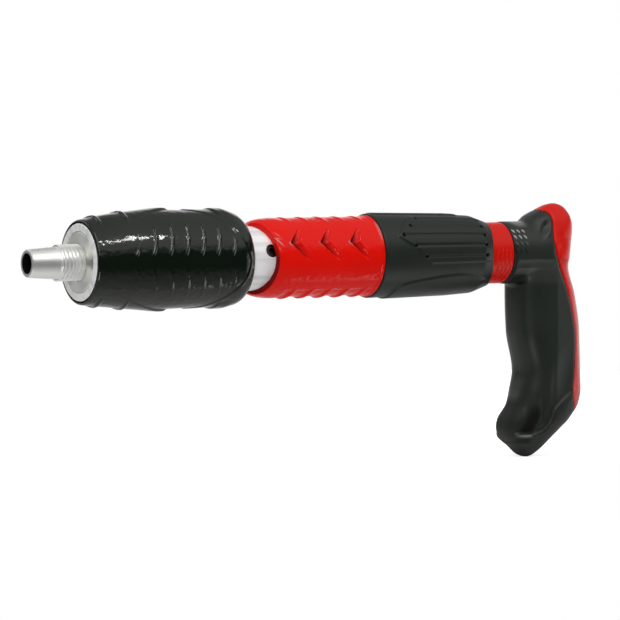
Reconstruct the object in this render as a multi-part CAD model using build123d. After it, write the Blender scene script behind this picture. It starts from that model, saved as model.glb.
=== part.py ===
from build123d import *
import os
from math import sqrt

# A press-to-fire ceiling nailer. The origin is the centre of the muzzle tip, +X is the firing
# direction and +Z is up, with the handle below the rear end. A station is a distance behind the
# muzzle tip, so a point at station s lies at x = -s. All sizes are in millimetres.

# Clearances
RUNNING = 0.08
FACE_GAP = 0.1
SOFT_GAP = 0.4

# Press stroke: how far the front group slides back over the body tube
PRESS_STROKE = 6.0
STROKE_MARGIN = 0.5

# Muzzle nose
NOSE_BORE_R = 5.05
NOSE_TIP_R = 6.95
NOSE_ROOT_R = 7.9
NOSE_CONE = 15.0
NOSE_EDGE = 0.5
THREAD_R = 9.0
THREAD_DEPTH = 1.0
THREAD_PITCH = 2.0
THREAD_SHOWN = 13.0
THREAD_RUNOUT = 0.4
THREAD_SEATED = 14.0
PORT_R = 1.25
PORT_COUNT = 6
PORT_SETBACK = 3.5

# Silencer tube, which carries the front sleeve and slides on the body tube
SILENCER_SLIDE_WALL = 3.0
SILENCER_WALL = 4.0
SILENCER_LENGTH = 82.0
LEDGE = 2.0
LEDGE_STEP = 1.5
MOUTH_EDGE = 0.5

# Breech plug
PLUG_GAP = 0.15
PLUG_DISC = 6.0
HUB_STEP = 1.0
HUB_LENGTH = 24.0
SPIGOT_LENGTH = 8.0

# Firing pin, its spring and its retainer
PIN_R = 1.5
PIN_RECESS = 0.6
PIN_STROKE = 2.0
PIN_GUIDE = 6.0
PIN_HEAD_R = 3.4
PIN_HEAD = 3.0
PIN_TAIL_R = 2.0
PIN_TAIL_SHOWN = 1.5
POCKET_R = 4.0
PIN_SPRING_WIRE_R = 0.3
PIN_SPRING_MEAN_R = 2.6
PIN_SPRING_TURNS = 3

# Push tube, with the sear balls in its rear end
PUSH_WALL = 3.92
PUSH_SEAT_WALL = 2.1
PUSH_OVERHANG = 6.5
STRIKE_SPACE = 8.0
BALL_R = 2.75
BALL_GRIP = 1.2

# Baffles on the push tube
BAFFLE = 2.0
BAFFLE_SPACING = 5.0
BAFFLE_HOLE_R = 1.0
BAFFLE_HOLES = 8
SPACER_WALL = 1.2

# Return spring
RETURN_LENGTH = 17.0
RETURN_WIRE_R = 0.9
RETURN_CLEARANCE = 1.1
RETURN_TURNS = 4

# Body tube
TUBE_R = 16.0
TUBE_WALL = 3.0
TUBE_LENGTH = 168.0

# Guide bush, snap ring and wiper
FRONT_BUSH = 16.0
BUSH_WALL = 3.0
STOP_RING = 1.5
STOP_STAND = 2.0
STOP_GROOVE = 0.8
STOP_GAP = 3.0
WIPER_LENGTH = 3.0
WIPER_WALL = 1.5
WIPER_SETBACK = 2.0

# Release bush with its cone, and the screws that lock it
LOCK_SETBACK = 5.4
LOCK_HOLE_R = 3.4
LOCK_CHAMFER = 0.6
LOCK_SCREW_R = 3.0
LOCK_SCREW_LENGTH = 3.4
LOCK_SCREW_SUNK = 1.4
LOCK_SOCKET_R = 1.6
LOCK_SOCKET_DEPTH = 2.0
LOCK_TURN = 16.0
RELEASE_LEAD = 9.9
BALL_SETBACK = 3.6
RELEASE_SLOPE = 0.22
RELEASE_TAIL = 2.5

# Striker rod and hammer
STRIKE_LOSS = 0.4
NECK_DEPTH = 1.4
NECK_LENGTH = 6.5
SHANK_STEP = 1.0
SHANK_LENGTH = 12.0
HAMMER_LENGTH = 32.0
HAMMER_EDGE = 1.0
GUIDE_CLEARANCE = 1.7
GUIDE_LENGTH = 8.0

# Main spring, recoil buffer and rear plug
MAIN_WIRE_R = 1.3
MAIN_CLEARANCE = 1.7
MAIN_TURNS = 8
BUFFER_LENGTH = 7.0
BUFFER_BORE_R = 6.0
PLUG_SEAT = 15.0
FLANGE = 4.0
FLANGE_STEP = 1.0
STUD_R = 8.0
STUD_LENGTH = 34.0

# Front sleeve
SLEEVE_SETBACK = 0.4
SLEEVE_FRONT_WALL = 1.7
SLEEVE_EDGE = 0.9
SLEEVE_SWELL = 43.0
SLEEVE_SWELL_HALFWAY = 0.68
SLEEVE_SWELL_WALL = 5.8
SLEEVE_WAIST_WALL = 5.0
SLEEVE_TAIL = 6.0
SLEEVE_ROUND = 10.0
SLEEVE_ROUND_FULLNESS = 0.74
SLEEVE_LIP = 0.5
PANEL_DEPTH = 0.8
PANEL_FRONT = 15.0
PANEL_FRONT_HALF = 16.7
PANEL_CROWN = 52.0
PANEL_CROWN_RISE = 0.8
PANEL_FULLNESS = 0.7
PANEL_REAR_MARGIN = 4.5
RIB_COUNT = 7
RIB_WIDTH = 1.8
RIB_PITCH = 9.4
RIB_LEAD = 18.5

# Middle sleeve
MIDDLE_LENGTH = 67.5
MIDDLE_WALL = 4.0
MIDDLE_NOSE = 13.0
MIDDLE_NOSE_FULLNESS = 0.68
MIDDLE_NOSE_WALL = 0.6
MIDDLE_LIP = 2.0
MIDDLE_LIP_HEIGHT = 0.4
MOUTH_DEPTH = 6.8
CHEVRON_COUNT = 3
CHEVRON_PITCH = 17.0
CHEVRON_LEAD = 14.0
CHEVRON_ARM = 8.0
CHEVRON_HALF = 7.6
CHEVRON_WIDTH = 4.2
CHEVRON_TIP = 1.1
CHEVRON_DEPTH = 1.6
CHEVRON_TURN = 24.0
FIN_COUNT = 5
FIN_PITCH = 10.2
FIN_LEAD = 17.7
FIN_WIDTH = 2.4
FIN_REACH = 13.0
FIN_SLANT = 8.0
FIN_HEIGHT = 0.6

# Rear sleeve
REAR_TAIL = 7.5
REAR_FRONT_WALL = 5.2
REAR_WAIST_WALL = 4.2
REAR_END_WALL = 3.2
REAR_RIM_WALL = 0.4
REAR_EDGE = 0.8
REAR_WAIST_SETBACK = 24.5
REAR_BEVEL = 9.5
REAR_SCALLOP = 3.0
FLUTE_COUNT = 5
FLUTE_R = 1.3
FLUTE_SINK = 0.9
FLUTE_FIRST_TURN = -4.0
FLUTE_PITCH_TURN = 16.3
FLUTE_LEAD = 12.0
FLUTE_RAKE = 6.0
SPINE_WIDTH = 7.0
SPINE_HEIGHT = 0.5
SPINE_LEAD = 1.0
SPINE_SETBACK = 16.5
PAD_RISE = 0.7
# Upper edge of the raised pad under the rear sleeve in side view: station behind the sleeve's
# front edge, height
PAD_LINE = [
    (9.0, -17.5),
    (12.5, -14.0),
    (20.0, -12.2),
    (46.0, -9.4),
    (62.0, -12.0),
    (72.0, -15.5),
]
PAD_OUTSIDE = 26.0

# Handle: collar, neck and grip
COLLAR_STEP = 0.4
COLLAR_LENGTH = 13.0
COLLAR_GROOVES = 4
COLLAR_GROOVE_PITCH = 2.4
COLLAR_GROOVE_WIDTH = 0.8
COLLAR_GROOVE_DEPTH = 0.5
NECK_STEP = 0.3
NECK_RUN = 22.0
GRIP_WALL = 3.0
GRIP_LEAST_SHARE = 0.3
PIN_CROSS_R = 2.5
PIN_CROSS_SETBACK = 12.0

# Sections of the grip form, from its foot to its hump: the height, how far the front and the
# rear lie behind the collar's rear edge, and the half thickness
GRIP_SECTIONS = [
    (-104.6, 13.0, 20.5, 3.0),
    (-100.0, 7.6, 26.0, 9.0),
    (-94.0, 2.8, 31.5, 12.6),
    (-86.0, 2.4, 40.6, 14.6),
    (-77.5, 6.2, 46.6, 15.0),
    (-61.0, 11.6, 47.8, 14.0),
    (-40.0, 7.4, 47.4, 14.0),
    (-22.0, 6.6, 44.2, 13.5),
    (-6.0, 7.4, 39.8, 13.5),
    (9.0, 11.4, 42.4, 12.6),
    (17.5, 16.4, 42.0, 10.0),
    (22.0, 25.6, 39.4, 6.0),
    (24.2, 30.0, 36.8, 2.5),
]
# Line of the back strap's front edge in side view: station behind the collar, height
STRAP_LINE = [
    (15.0, 28.0),
    (22.0, 18.6),
    (23.8, 8.0),
    (24.4, -3.0),
    (33.0, -20.0),
    (39.5, -38.0),
    (39.8, -54.0),
    (38.5, -76.0),
    (41.0, -83.0),
    (48.0, -90.0),
]
STRAP_OUTSIDE = 30.0

# Stations worked out from the sizes above
FACE = NOSE_CONE + THREAD_SHOWN
BREECH = FACE + THREAD_SEATED
DISC_END = FACE + PLUG_DISC
HUB_END = DISC_END + HUB_LENGTH
SPIGOT_END = HUB_END + SPIGOT_LENGTH
BAFFLES_END = HUB_END + 2 * BAFFLE + BAFFLE_SPACING
TUBE_FRONT = BAFFLES_END + RETURN_LENGTH
TUBE_END = TUBE_FRONT + TUBE_LENGTH
SILENCER_END = FACE + SILENCER_LENGTH
COUNTERBORE = TUBE_FRONT - 2 * PRESS_STROKE
BUSH_END = TUBE_FRONT + FRONT_BUSH
SLEEVE_FRONT = FACE + SLEEVE_SETBACK
SLEEVE_END = SILENCER_END + SLEEVE_TAIL
MIDDLE_FRONT = SLEEVE_END + PRESS_STROKE + STROKE_MARGIN
MIDDLE_END = MIDDLE_FRONT + MIDDLE_LENGTH
REAR_END = TUBE_END + REAR_TAIL
LOCK_STATION = MIDDLE_FRONT + LOCK_SETBACK
BALL_STATION = LOCK_STATION + BALL_SETBACK
RELEASE_FRONT = LOCK_STATION - RELEASE_LEAD
RELEASE_END = BALL_STATION + PRESS_STROKE + RELEASE_TAIL
PUSH_END = BALL_STATION + PUSH_OVERHANG
PIN_SPRING_LENGTH = PIN_STROKE + 2 * PIN_SPRING_WIRE_R * PIN_SPRING_TURNS + 2 * FACE_GAP
PIN_HEAD_FRONT = BREECH + PIN_GUIDE + PIN_SPRING_LENGTH
PIN_HEAD_END = PIN_HEAD_FRONT + PIN_HEAD
PIN_TAIL_END = SPIGOT_END + PIN_TAIL_SHOWN
STRIKER_TIP = PIN_TAIL_END + PRESS_STROKE + STRIKE_LOSS
HAMMER_FRONT = PUSH_END + STRIKE_SPACE
HAMMER_END = HAMMER_FRONT + HAMMER_LENGTH
BUFFER_END = TUBE_END - PLUG_SEAT
SPRING_END = BUFFER_END - BUFFER_LENGTH
COLLAR_FRONT = TUBE_END + FLANGE
COLLAR_END = COLLAR_FRONT + COLLAR_LENGTH
NECK_END = COLLAR_END + NECK_RUN
CROSS_PIN_STATION = COLLAR_END + PIN_CROSS_SETBACK

# Radii worked out from the body tube: inwards to the striker, outwards to the sleeves
TUBE_BORE_R = TUBE_R - TUBE_WALL
PUSH_R = TUBE_BORE_R - BUSH_WALL
PUSH_GUIDE_R = PUSH_R + RUNNING
PUSH_BORE_R = PUSH_R - PUSH_WALL
SPIGOT_R = PUSH_R - PUSH_SEAT_WALL
STOP_RING_R = PUSH_R + STOP_STAND
STRIKER_R = PUSH_BORE_R - RUNNING
NECK_R = STRIKER_R - NECK_DEPTH
SHANK_R = STRIKER_R - SHANK_STEP
MAIN_MEAN_R = TUBE_BORE_R - MAIN_CLEARANCE - MAIN_WIRE_R
GUIDE_R = MAIN_MEAN_R - MAIN_WIRE_R - GUIDE_CLEARANCE
RETURN_MEAN_R = PUSH_R + RETURN_CLEARANCE + RETURN_WIRE_R
SILENCER_R = TUBE_R + SILENCER_SLIDE_WALL
SILENCER_BORE_R = SILENCER_R - SILENCER_WALL
LEDGE_R = SILENCER_BORE_R - LEDGE_STEP
HUB_R = LEDGE_R - HUB_STEP
BAFFLE_HOLE_CIRCLE_R = (PUSH_R + SILENCER_BORE_R) / 2
FLANGE_R = TUBE_R - FLANGE_STEP
COLLAR_R = TUBE_R - COLLAR_STEP
NECK_OUTER_R = COLLAR_R + NECK_STEP
SLEEVE_FRONT_R = SILENCER_R + SLEEVE_FRONT_WALL
SLEEVE_SWELL_R = SILENCER_R + SLEEVE_SWELL_WALL
SLEEVE_WAIST_R = SILENCER_R + SLEEVE_WAIST_WALL
MIDDLE_R = TUBE_R + MIDDLE_WALL
REAR_FRONT_R = TUBE_R + REAR_FRONT_WALL
REAR_WAIST_R = TUBE_R + REAR_WAIST_WALL
REAR_END_R = TUBE_R + REAR_END_WALL

# Radii of the ball seats: at rest a ball reaches BALL_GRIP inside the striker's full radius
BALL_TRACK_R = STRIKER_R - BALL_GRIP + BALL_R
RELEASE_R = BALL_TRACK_R + (BALL_R + RUNNING) * sqrt(1 + RELEASE_SLOPE**2)
BEYOND = 60.0


def spot(station, radius):
    """A point of a turned profile."""
    return (-station, radius)


def turned(*profile):
    """A solid turned about the tool axis from (station, radius) points."""
    outline = Polyline(*[spot(*point) for point in profile], close=True)
    return revolve(make_face(outline), Axis.X)


def ring(front, end, inner, outer):
    """A plain turned ring between two stations."""
    return turned((front, inner), (front, outer), (end, outer), (end, inner))


def rod(front, end, radius):
    """A plain turned rod between two stations."""
    return turned((front, 0), (front, radius), (end, radius), (end, 0))


def spokes(station, radius, inner, outer, turns):
    """Radial drillings at one station, each turned about the axis from the left side."""
    drill = Pos(-station, (inner + outer) / 2, 0) * Rot(X=-90) * Cylinder(radius, outer - inner)
    return [Rot(X=turn) * drill for turn in turns]


def side_prism(*edges):
    """A prism across the whole width, from edges drawn in side view as (x, z)."""
    flat = make_face(Wire(list(edges)))
    return extrude(Plane.XZ * flat, BEYOND, both=True)


def spring(front, end, mean_r, wire_r, turns):
    """A compression spring about the axis; its ends lie just clear of their seats."""
    first = front + FACE_GAP + wire_r
    last = end - FACE_GAP - wire_r
    path = Helix(pitch=(last - first) / turns, height=last - first, radius=mean_r)
    section = Plane(origin=path @ 0, z_dir=path % 0) * Circle(wire_r)
    coil = sweep(section, path=path, is_frenet=True)
    return Rot(Y=-90) * Pos(0, 0, first) * coil


def gas_ports(inner, outer):
    """Radial ports from the nail bore to the silencer chamber."""
    turns = [360 / PORT_COUNT * i for i in range(PORT_COUNT)]
    return spokes(BREECH - PORT_SETBACK, PORT_R, inner, outer, turns)


# Front group


def muzzle_nose():
    """Tapered nose with the nail bore, screwed into the breech plug."""
    core_r = THREAD_R - THREAD_DEPTH
    body = turned(
        (0, NOSE_BORE_R),
        (0, NOSE_TIP_R - NOSE_EDGE),
        (NOSE_EDGE, NOSE_TIP_R),
        (NOSE_CONE, NOSE_ROOT_R),
        (NOSE_CONE, core_r),
        (FACE, core_r),
        (FACE, THREAD_R),
        (BREECH, THREAD_R),
        (BREECH, NOSE_BORE_R),
    )
    return body + thread_ridge(core_r) - gas_ports(0, THREAD_R + PORT_R)


def thread_ridge(core_r):
    """The helical ridge of the nose's thread, trimmed to the stretch that shows."""
    crest = THREAD_PITCH / 8
    root = THREAD_PITCH * 3 / 8
    start = NOSE_CONE - THREAD_PITCH
    run = THREAD_SHOWN + 2 * THREAD_PITCH
    path = Helix(pitch=THREAD_PITCH, height=run, radius=core_r)
    tooth = Polyline(
        (core_r - RUNNING, -root),
        (THREAD_R, -crest),
        (THREAD_R, crest),
        (core_r - RUNNING, root),
        close=True,
    )
    ridge = sweep(Plane.XZ * make_face(tooth), path=path, is_frenet=True)
    ridge = Rot(Y=-90) * Pos(0, 0, start) * ridge
    shown = (NOSE_CONE + THREAD_RUNOUT, FACE - THREAD_RUNOUT)
    return ridge & ring(*shown, core_r - 2 * RUNNING, THREAD_R + THREAD_DEPTH)


def breech_plug():
    """Disc, hub and spigot in one: it seats the nose, the firing pin and the push tube."""
    disc_r = SILENCER_BORE_R - PLUG_GAP
    body = turned(
        (FACE, THREAD_R),
        (FACE, disc_r - MOUTH_EDGE),
        (FACE + MOUTH_EDGE, disc_r),
        (DISC_END, disc_r),
        (DISC_END, HUB_R),
        (HUB_END, HUB_R),
        (HUB_END, SPIGOT_R),
        (SPIGOT_END, SPIGOT_R),
        (SPIGOT_END, POCKET_R),
        (BREECH + PIN_GUIDE, POCKET_R),
        (BREECH + PIN_GUIDE, PIN_R + RUNNING),
        (BREECH, PIN_R + RUNNING),
        (BREECH, THREAD_R),
    )
    return body - gas_ports(THREAD_R - PORT_R, HUB_R + PORT_R)


def silencer_tube():
    """Thick front tube; its ledge backs the plug and its counterbore runs on the body tube."""
    slide_r = TUBE_R + RUNNING
    groove_end = SILENCER_END - WIPER_SETBACK
    groove_front = groove_end - WIPER_LENGTH
    return turned(
        (FACE, SILENCER_BORE_R + MOUTH_EDGE),
        (FACE, SILENCER_R - MOUTH_EDGE),
        (FACE + MOUTH_EDGE, SILENCER_R),
        (SILENCER_END, SILENCER_R),
        (SILENCER_END, slide_r),
        (groove_end, slide_r),
        (groove_end, TUBE_R + WIPER_WALL),
        (groove_front, TUBE_R + WIPER_WALL),
        (groove_front, slide_r),
        (COUNTERBORE, slide_r),
        (COUNTERBORE, SILENCER_BORE_R),
        (DISC_END + LEDGE, SILENCER_BORE_R),
        (DISC_END + LEDGE, LEDGE_R),
        (DISC_END, LEDGE_R),
        (DISC_END, SILENCER_BORE_R),
        (FACE + MOUTH_EDGE, SILENCER_BORE_R),
    )


def wiper_ring():
    """Rubber wiper in the silencer tube's rear groove."""
    end = SILENCER_END - WIPER_SETBACK
    return ring(end - WIPER_LENGTH, end, TUBE_R + RUNNING, TUBE_R + WIPER_WALL)


def front_sleeve_form(drop):
    """The front sleeve's outside as a solid, lowered by drop."""
    front_r = SLEEVE_FRONT_R - drop
    swell_r = SLEEVE_SWELL_R - drop
    waist_r = SLEEVE_WAIST_R - drop
    rim_r = TUBE_R + SOFT_GAP + SLEEVE_LIP
    swell = SLEEVE_FRONT + SLEEVE_SWELL
    shoulder = SLEEVE_END - SLEEVE_ROUND
    middle = (SLEEVE_FRONT + SLEEVE_SWELL / 2, front_r + SLEEVE_SWELL_HALFWAY * (swell_r - front_r))
    bulge = (
        shoulder + SLEEVE_ROUND_FULLNESS * SLEEVE_ROUND,
        rim_r + SLEEVE_ROUND_FULLNESS * (waist_r - rim_r),
    )
    outline = [
        Line(spot(SLEEVE_FRONT, 0), spot(SLEEVE_FRONT, front_r - SLEEVE_EDGE)),
        Line(spot(SLEEVE_FRONT, front_r - SLEEVE_EDGE), spot(SLEEVE_FRONT + SLEEVE_EDGE, front_r)),
        ThreePointArc(spot(SLEEVE_FRONT + SLEEVE_EDGE, front_r), spot(*middle), spot(swell, swell_r)),
        Line(spot(swell, swell_r), spot(shoulder, waist_r)),
        ThreePointArc(spot(shoulder, waist_r), spot(*bulge), spot(SLEEVE_END, rim_r)),
        Line(spot(SLEEVE_END, rim_r), spot(SLEEVE_END, 0)),
        Line(spot(SLEEVE_END, 0), spot(SLEEVE_FRONT, 0)),
    ]
    return revolve(make_face(Wire(outline)), Axis.X)


def front_sleeve():
    """Rubber grip with a ribbed leaf-shaped panel sunk into each side."""
    front = SLEEVE_FRONT + PANEL_FRONT
    crown = SLEEVE_FRONT + PANEL_CROWN
    tail = SLEEVE_END - PANEL_REAR_MARGIN
    crown_half = SLEEVE_SWELL_R + PANEL_CROWN_RISE
    rise = ((front + crown) / 2, PANEL_FRONT_HALF + PANEL_FULLNESS * (crown_half - PANEL_FRONT_HALF))
    fall = (crown + PANEL_FULLNESS * (tail - crown), PANEL_FULLNESS * crown_half)
    panel = side_prism(
        Line((-front, -PANEL_FRONT_HALF), (-front, PANEL_FRONT_HALF)),
        ThreePointArc((-front, PANEL_FRONT_HALF), (-rise[0], rise[1]), (-crown, crown_half)),
        ThreePointArc((-crown, crown_half), (-fall[0], fall[1]), (-tail, 0)),
        ThreePointArc((-tail, 0), (-fall[0], -fall[1]), (-crown, -crown_half)),
        ThreePointArc((-crown, -crown_half), (-rise[0], -rise[1]), (-front, -PANEL_FRONT_HALF)),
    )
    whole = front_sleeve_form(0)
    skin = whole - front_sleeve_form(PANEL_DEPTH)
    ribs = [
        Pos(-(SLEEVE_FRONT + RIB_LEAD + RIB_PITCH * i), 0, 0) * Box(RIB_WIDTH, BEYOND, BEYOND)
        for i in range(RIB_COUNT)
    ]
    tube_seat = rod(FACE, SILENCER_END, SILENCER_R)
    tail_bore = rod(SILENCER_END, SLEEVE_END, TUBE_R + SOFT_GAP)
    return whole - tube_seat - tail_bore - ((skin & panel) - ribs)


def push_tube():
    """Steel tube behind the breech; it carries the balls and the snap ring."""
    groove_front = BUSH_END + FACE_GAP
    groove_r = PUSH_R - STOP_GROOVE
    body = turned(
        (HUB_END, SPIGOT_R),
        (HUB_END, PUSH_R),
        (groove_front, PUSH_R),
        (groove_front, groove_r),
        (groove_front + STOP_RING, groove_r),
        (groove_front + STOP_RING, PUSH_R),
        (PUSH_END, PUSH_R),
        (PUSH_END, PUSH_BORE_R),
        (SPIGOT_END, PUSH_BORE_R),
        (SPIGOT_END, SPIGOT_R),
    )
    return body - spokes(BALL_STATION, BALL_R + RUNNING, 0, PUSH_R + BALL_R, (90, -90))


def stop_ring():
    """Snap ring in the push tube's groove."""
    front = BUSH_END + FACE_GAP
    whole = ring(front, front + STOP_RING, PUSH_R - STOP_GROOVE, STOP_RING_R)
    return whole - Pos(-front, STOP_RING_R, 0) * Box(BEYOND, STOP_RING_R, STOP_GAP)


def baffle(front):
    """Perforated silencer disc on the push tube."""
    disc = ring(front, front + BAFFLE, PUSH_R, SILENCER_BORE_R - FACE_GAP)
    drill = Pos(-front, BAFFLE_HOLE_CIRCLE_R, 0) * Rot(Y=90) * Cylinder(BAFFLE_HOLE_R, 4 * BAFFLE)
    return disc - [Rot(X=360 / BAFFLE_HOLES * i) * drill for i in range(BAFFLE_HOLES)]


def baffle_spacer():
    """Plain ring that holds the baffles apart."""
    front = HUB_END + BAFFLE
    return ring(front, front + BAFFLE_SPACING, PUSH_R, PUSH_R + SPACER_WALL)


# Firing pin


def firing_pin():
    """Floating pin with a head and a tail that the striker hits."""
    return turned(
        (BREECH + PIN_RECESS, 0),
        (BREECH + PIN_RECESS, PIN_R),
        (PIN_HEAD_FRONT, PIN_R),
        (PIN_HEAD_FRONT, PIN_HEAD_R),
        (PIN_HEAD_END, PIN_HEAD_R),
        (PIN_HEAD_END, PIN_TAIL_R),
        (PIN_TAIL_END, PIN_TAIL_R),
        (PIN_TAIL_END, 0),
    )


def pin_retainer():
    """Screwed bush that keeps the firing pin in its pocket."""
    return ring(PIN_HEAD_END + FACE_GAP, SPIGOT_END, PIN_TAIL_R + RUNNING, POCKET_R)


# Striker


def striker_rod():
    """Rod whose shoulder the balls push on; its shank screws into the hammer."""
    shoulder_rise = STRIKER_R - NECK_R
    reach = (BALL_R + FACE_GAP / 2) * sqrt(2)
    shoulder = BALL_STATION + reach - (BALL_TRACK_R - NECK_R)
    return turned(
        (STRIKER_TIP, 0),
        (STRIKER_TIP, STRIKER_R),
        (shoulder - NECK_LENGTH, STRIKER_R),
        (shoulder - NECK_LENGTH, NECK_R),
        (shoulder, NECK_R),
        (shoulder + shoulder_rise, STRIKER_R),
        (HAMMER_FRONT, STRIKER_R),
        (HAMMER_FRONT, SHANK_R),
        (HAMMER_FRONT + SHANK_LENGTH, SHANK_R),
        (HAMMER_FRONT + SHANK_LENGTH, 0),
    )


def hammer():
    """Heavy striker body that runs in the body tube, with a guide for the main spring."""
    outer = TUBE_BORE_R - RUNNING
    return turned(
        (HAMMER_FRONT, SHANK_R),
        (HAMMER_FRONT, outer - HAMMER_EDGE),
        (HAMMER_FRONT + HAMMER_EDGE, outer),
        (HAMMER_END - HAMMER_EDGE, outer),
        (HAMMER_END, outer - HAMMER_EDGE),
        (HAMMER_END, GUIDE_R),
        (HAMMER_END + GUIDE_LENGTH, GUIDE_R),
        (HAMMER_END + GUIDE_LENGTH, 0),
        (HAMMER_FRONT + SHANK_LENGTH, 0),
        (HAMMER_FRONT + SHANK_LENGTH, SHANK_R),
    )


def sear_ball(side):
    """Ball above (+1) or below (-1) the axis in the push tube."""
    return Pos(-BALL_STATION, 0, side * BALL_TRACK_R) * Sphere(BALL_R)


# Body


def body_tube():
    """Long bright tube that everything else is built on."""
    tube = ring(TUBE_FRONT, TUBE_END, TUBE_BORE_R, TUBE_R)
    return tube - lock_holes()


def lock_holes():
    """The two countersunk holes over the lock screws."""
    turns = (LOCK_TURN, LOCK_TURN + 180)
    holes = spokes(LOCK_STATION, LOCK_HOLE_R, TUBE_BORE_R - LOCK_CHAMFER, TUBE_R + LOCK_CHAMFER, turns)
    sink = Cone(LOCK_HOLE_R, LOCK_HOLE_R + 2 * LOCK_CHAMFER, 2 * LOCK_CHAMFER)
    sink = Pos(-LOCK_STATION, TUBE_R, 0) * Rot(X=-90) * sink
    return holes + [Rot(X=turn) * sink for turn in turns]


def lock_screws():
    """Socket grub screws, sunk below the tube's outside and seated in the release bush."""
    top = TUBE_R - LOCK_SCREW_SUNK
    shank = Pos(-LOCK_STATION, top - LOCK_SCREW_LENGTH / 2, 0) * Rot(X=-90)
    socket = RegularPolygon(LOCK_SOCKET_R, 6)
    screw = shank * Cylinder(LOCK_SCREW_R, LOCK_SCREW_LENGTH)
    key = Pos(-LOCK_STATION, top - LOCK_SOCKET_DEPTH, 0) * Rot(X=-90) * extrude(socket, BEYOND)
    return Compound(children=[Rot(X=turn) * (screw - key) for turn in (LOCK_TURN, LOCK_TURN + 180)])


def front_bush():
    """Bronze guide pressed into the front of the body tube."""
    return ring(TUBE_FRONT, BUSH_END, PUSH_GUIDE_R, TUBE_BORE_R)


def release_bush():
    """Hardened bush; its cone lets the balls out as the push tube comes back."""
    cone_start = BALL_STATION - (RELEASE_R - PUSH_GUIDE_R) / RELEASE_SLOPE
    cone_end_r = RELEASE_R + (RELEASE_END - BALL_STATION) * RELEASE_SLOPE
    body = turned(
        (RELEASE_FRONT, PUSH_GUIDE_R),
        (RELEASE_FRONT, TUBE_BORE_R),
        (RELEASE_END, TUBE_BORE_R),
        (RELEASE_END, cone_end_r),
        (cone_start, PUSH_GUIDE_R),
    )
    depth = TUBE_R - LOCK_SCREW_SUNK - LOCK_SCREW_LENGTH
    return body - spokes(LOCK_STATION, LOCK_SCREW_R, depth, TUBE_R, (LOCK_TURN, LOCK_TURN + 180))


def recoil_buffer():
    """Rubber ring between the main spring and the rear plug."""
    return ring(SPRING_END, BUFFER_END, BUFFER_BORE_R, TUBE_BORE_R - FACE_GAP)


def rear_plug():
    """Plug in the rear of the body tube, with the stud that carries the handle."""
    body = turned(
        (BUFFER_END, 0),
        (BUFFER_END, TUBE_BORE_R),
        (TUBE_END, TUBE_BORE_R),
        (TUBE_END, FLANGE_R),
        (COLLAR_FRONT, FLANGE_R),
        (COLLAR_FRONT, STUD_R),
        (COLLAR_FRONT + STUD_LENGTH, STUD_R),
        (COLLAR_FRONT + STUD_LENGTH, 0),
    )
    return body - handle_pin()


# Sleeves on the body


def middle_sleeve():
    """Rubber sleeve with a fish-mouth front, side chevrons and fins above and below."""
    nose_r = TUBE_R + MIDDLE_NOSE_WALL
    shoulder = MIDDLE_FRONT + MIDDLE_NOSE
    lip = MIDDLE_END - MIDDLE_LIP
    lip_r = MIDDLE_R + MIDDLE_LIP_HEIGHT
    nose_bulge = (
        shoulder - MIDDLE_NOSE_FULLNESS * MIDDLE_NOSE,
        nose_r + MIDDLE_NOSE_FULLNESS * (MIDDLE_R - nose_r),
    )
    edges = [
        Line(spot(MIDDLE_FRONT, TUBE_R), spot(MIDDLE_FRONT, nose_r)),
        ThreePointArc(spot(MIDDLE_FRONT, nose_r), spot(*nose_bulge), spot(shoulder, MIDDLE_R)),
        Line(spot(shoulder, MIDDLE_R), spot(lip, MIDDLE_R)),
        Line(spot(lip, MIDDLE_R), spot(lip, lip_r)),
        Line(spot(lip, lip_r), spot(MIDDLE_END, lip_r)),
        Line(spot(MIDDLE_END, lip_r), spot(MIDDLE_END, TUBE_R)),
        Line(spot(MIDDLE_END, TUBE_R), spot(MIDDLE_FRONT, TUBE_R)),
    ]
    body = revolve(make_face(Wire(edges)), Axis.X) + fins()
    ahead = MIDDLE_FRONT - MOUTH_DEPTH
    mouth = side_prism(
        Line((-ahead, -nose_r), (-MIDDLE_FRONT, -nose_r)),
        ThreePointArc((-MIDDLE_FRONT, -nose_r), (-MIDDLE_FRONT - MOUTH_DEPTH, 0), (-MIDDLE_FRONT, nose_r)),
        Line((-MIDDLE_FRONT, nose_r), (-ahead, nose_r)),
        Line((-ahead, nose_r), (-ahead, -nose_r)),
    )
    return body - mouth - chevrons()


def chevrons():
    """Boomerang cutters for the side recesses; flat floors make the arms fade out."""
    outline = Polyline(
        (0, 0),
        (-CHEVRON_ARM, CHEVRON_HALF),
        (-CHEVRON_ARM - CHEVRON_TIP, CHEVRON_HALF),
        (-CHEVRON_WIDTH, 0),
        (-CHEVRON_ARM - CHEVRON_TIP, -CHEVRON_HALF),
        (-CHEVRON_ARM, -CHEVRON_HALF),
        close=True,
    )
    cutter = Rot(X=-90) * extrude(make_face(outline), BEYOND)
    first = MIDDLE_FRONT + CHEVRON_LEAD
    row = [
        Pos(-(first + CHEVRON_PITCH * i), MIDDLE_R - CHEVRON_DEPTH, 0) * cutter
        for i in range(CHEVRON_COUNT)
    ]
    return [Rot(X=turn) * one for turn in (CHEVRON_TURN, 180 - CHEVRON_TURN) for one in row]


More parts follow.
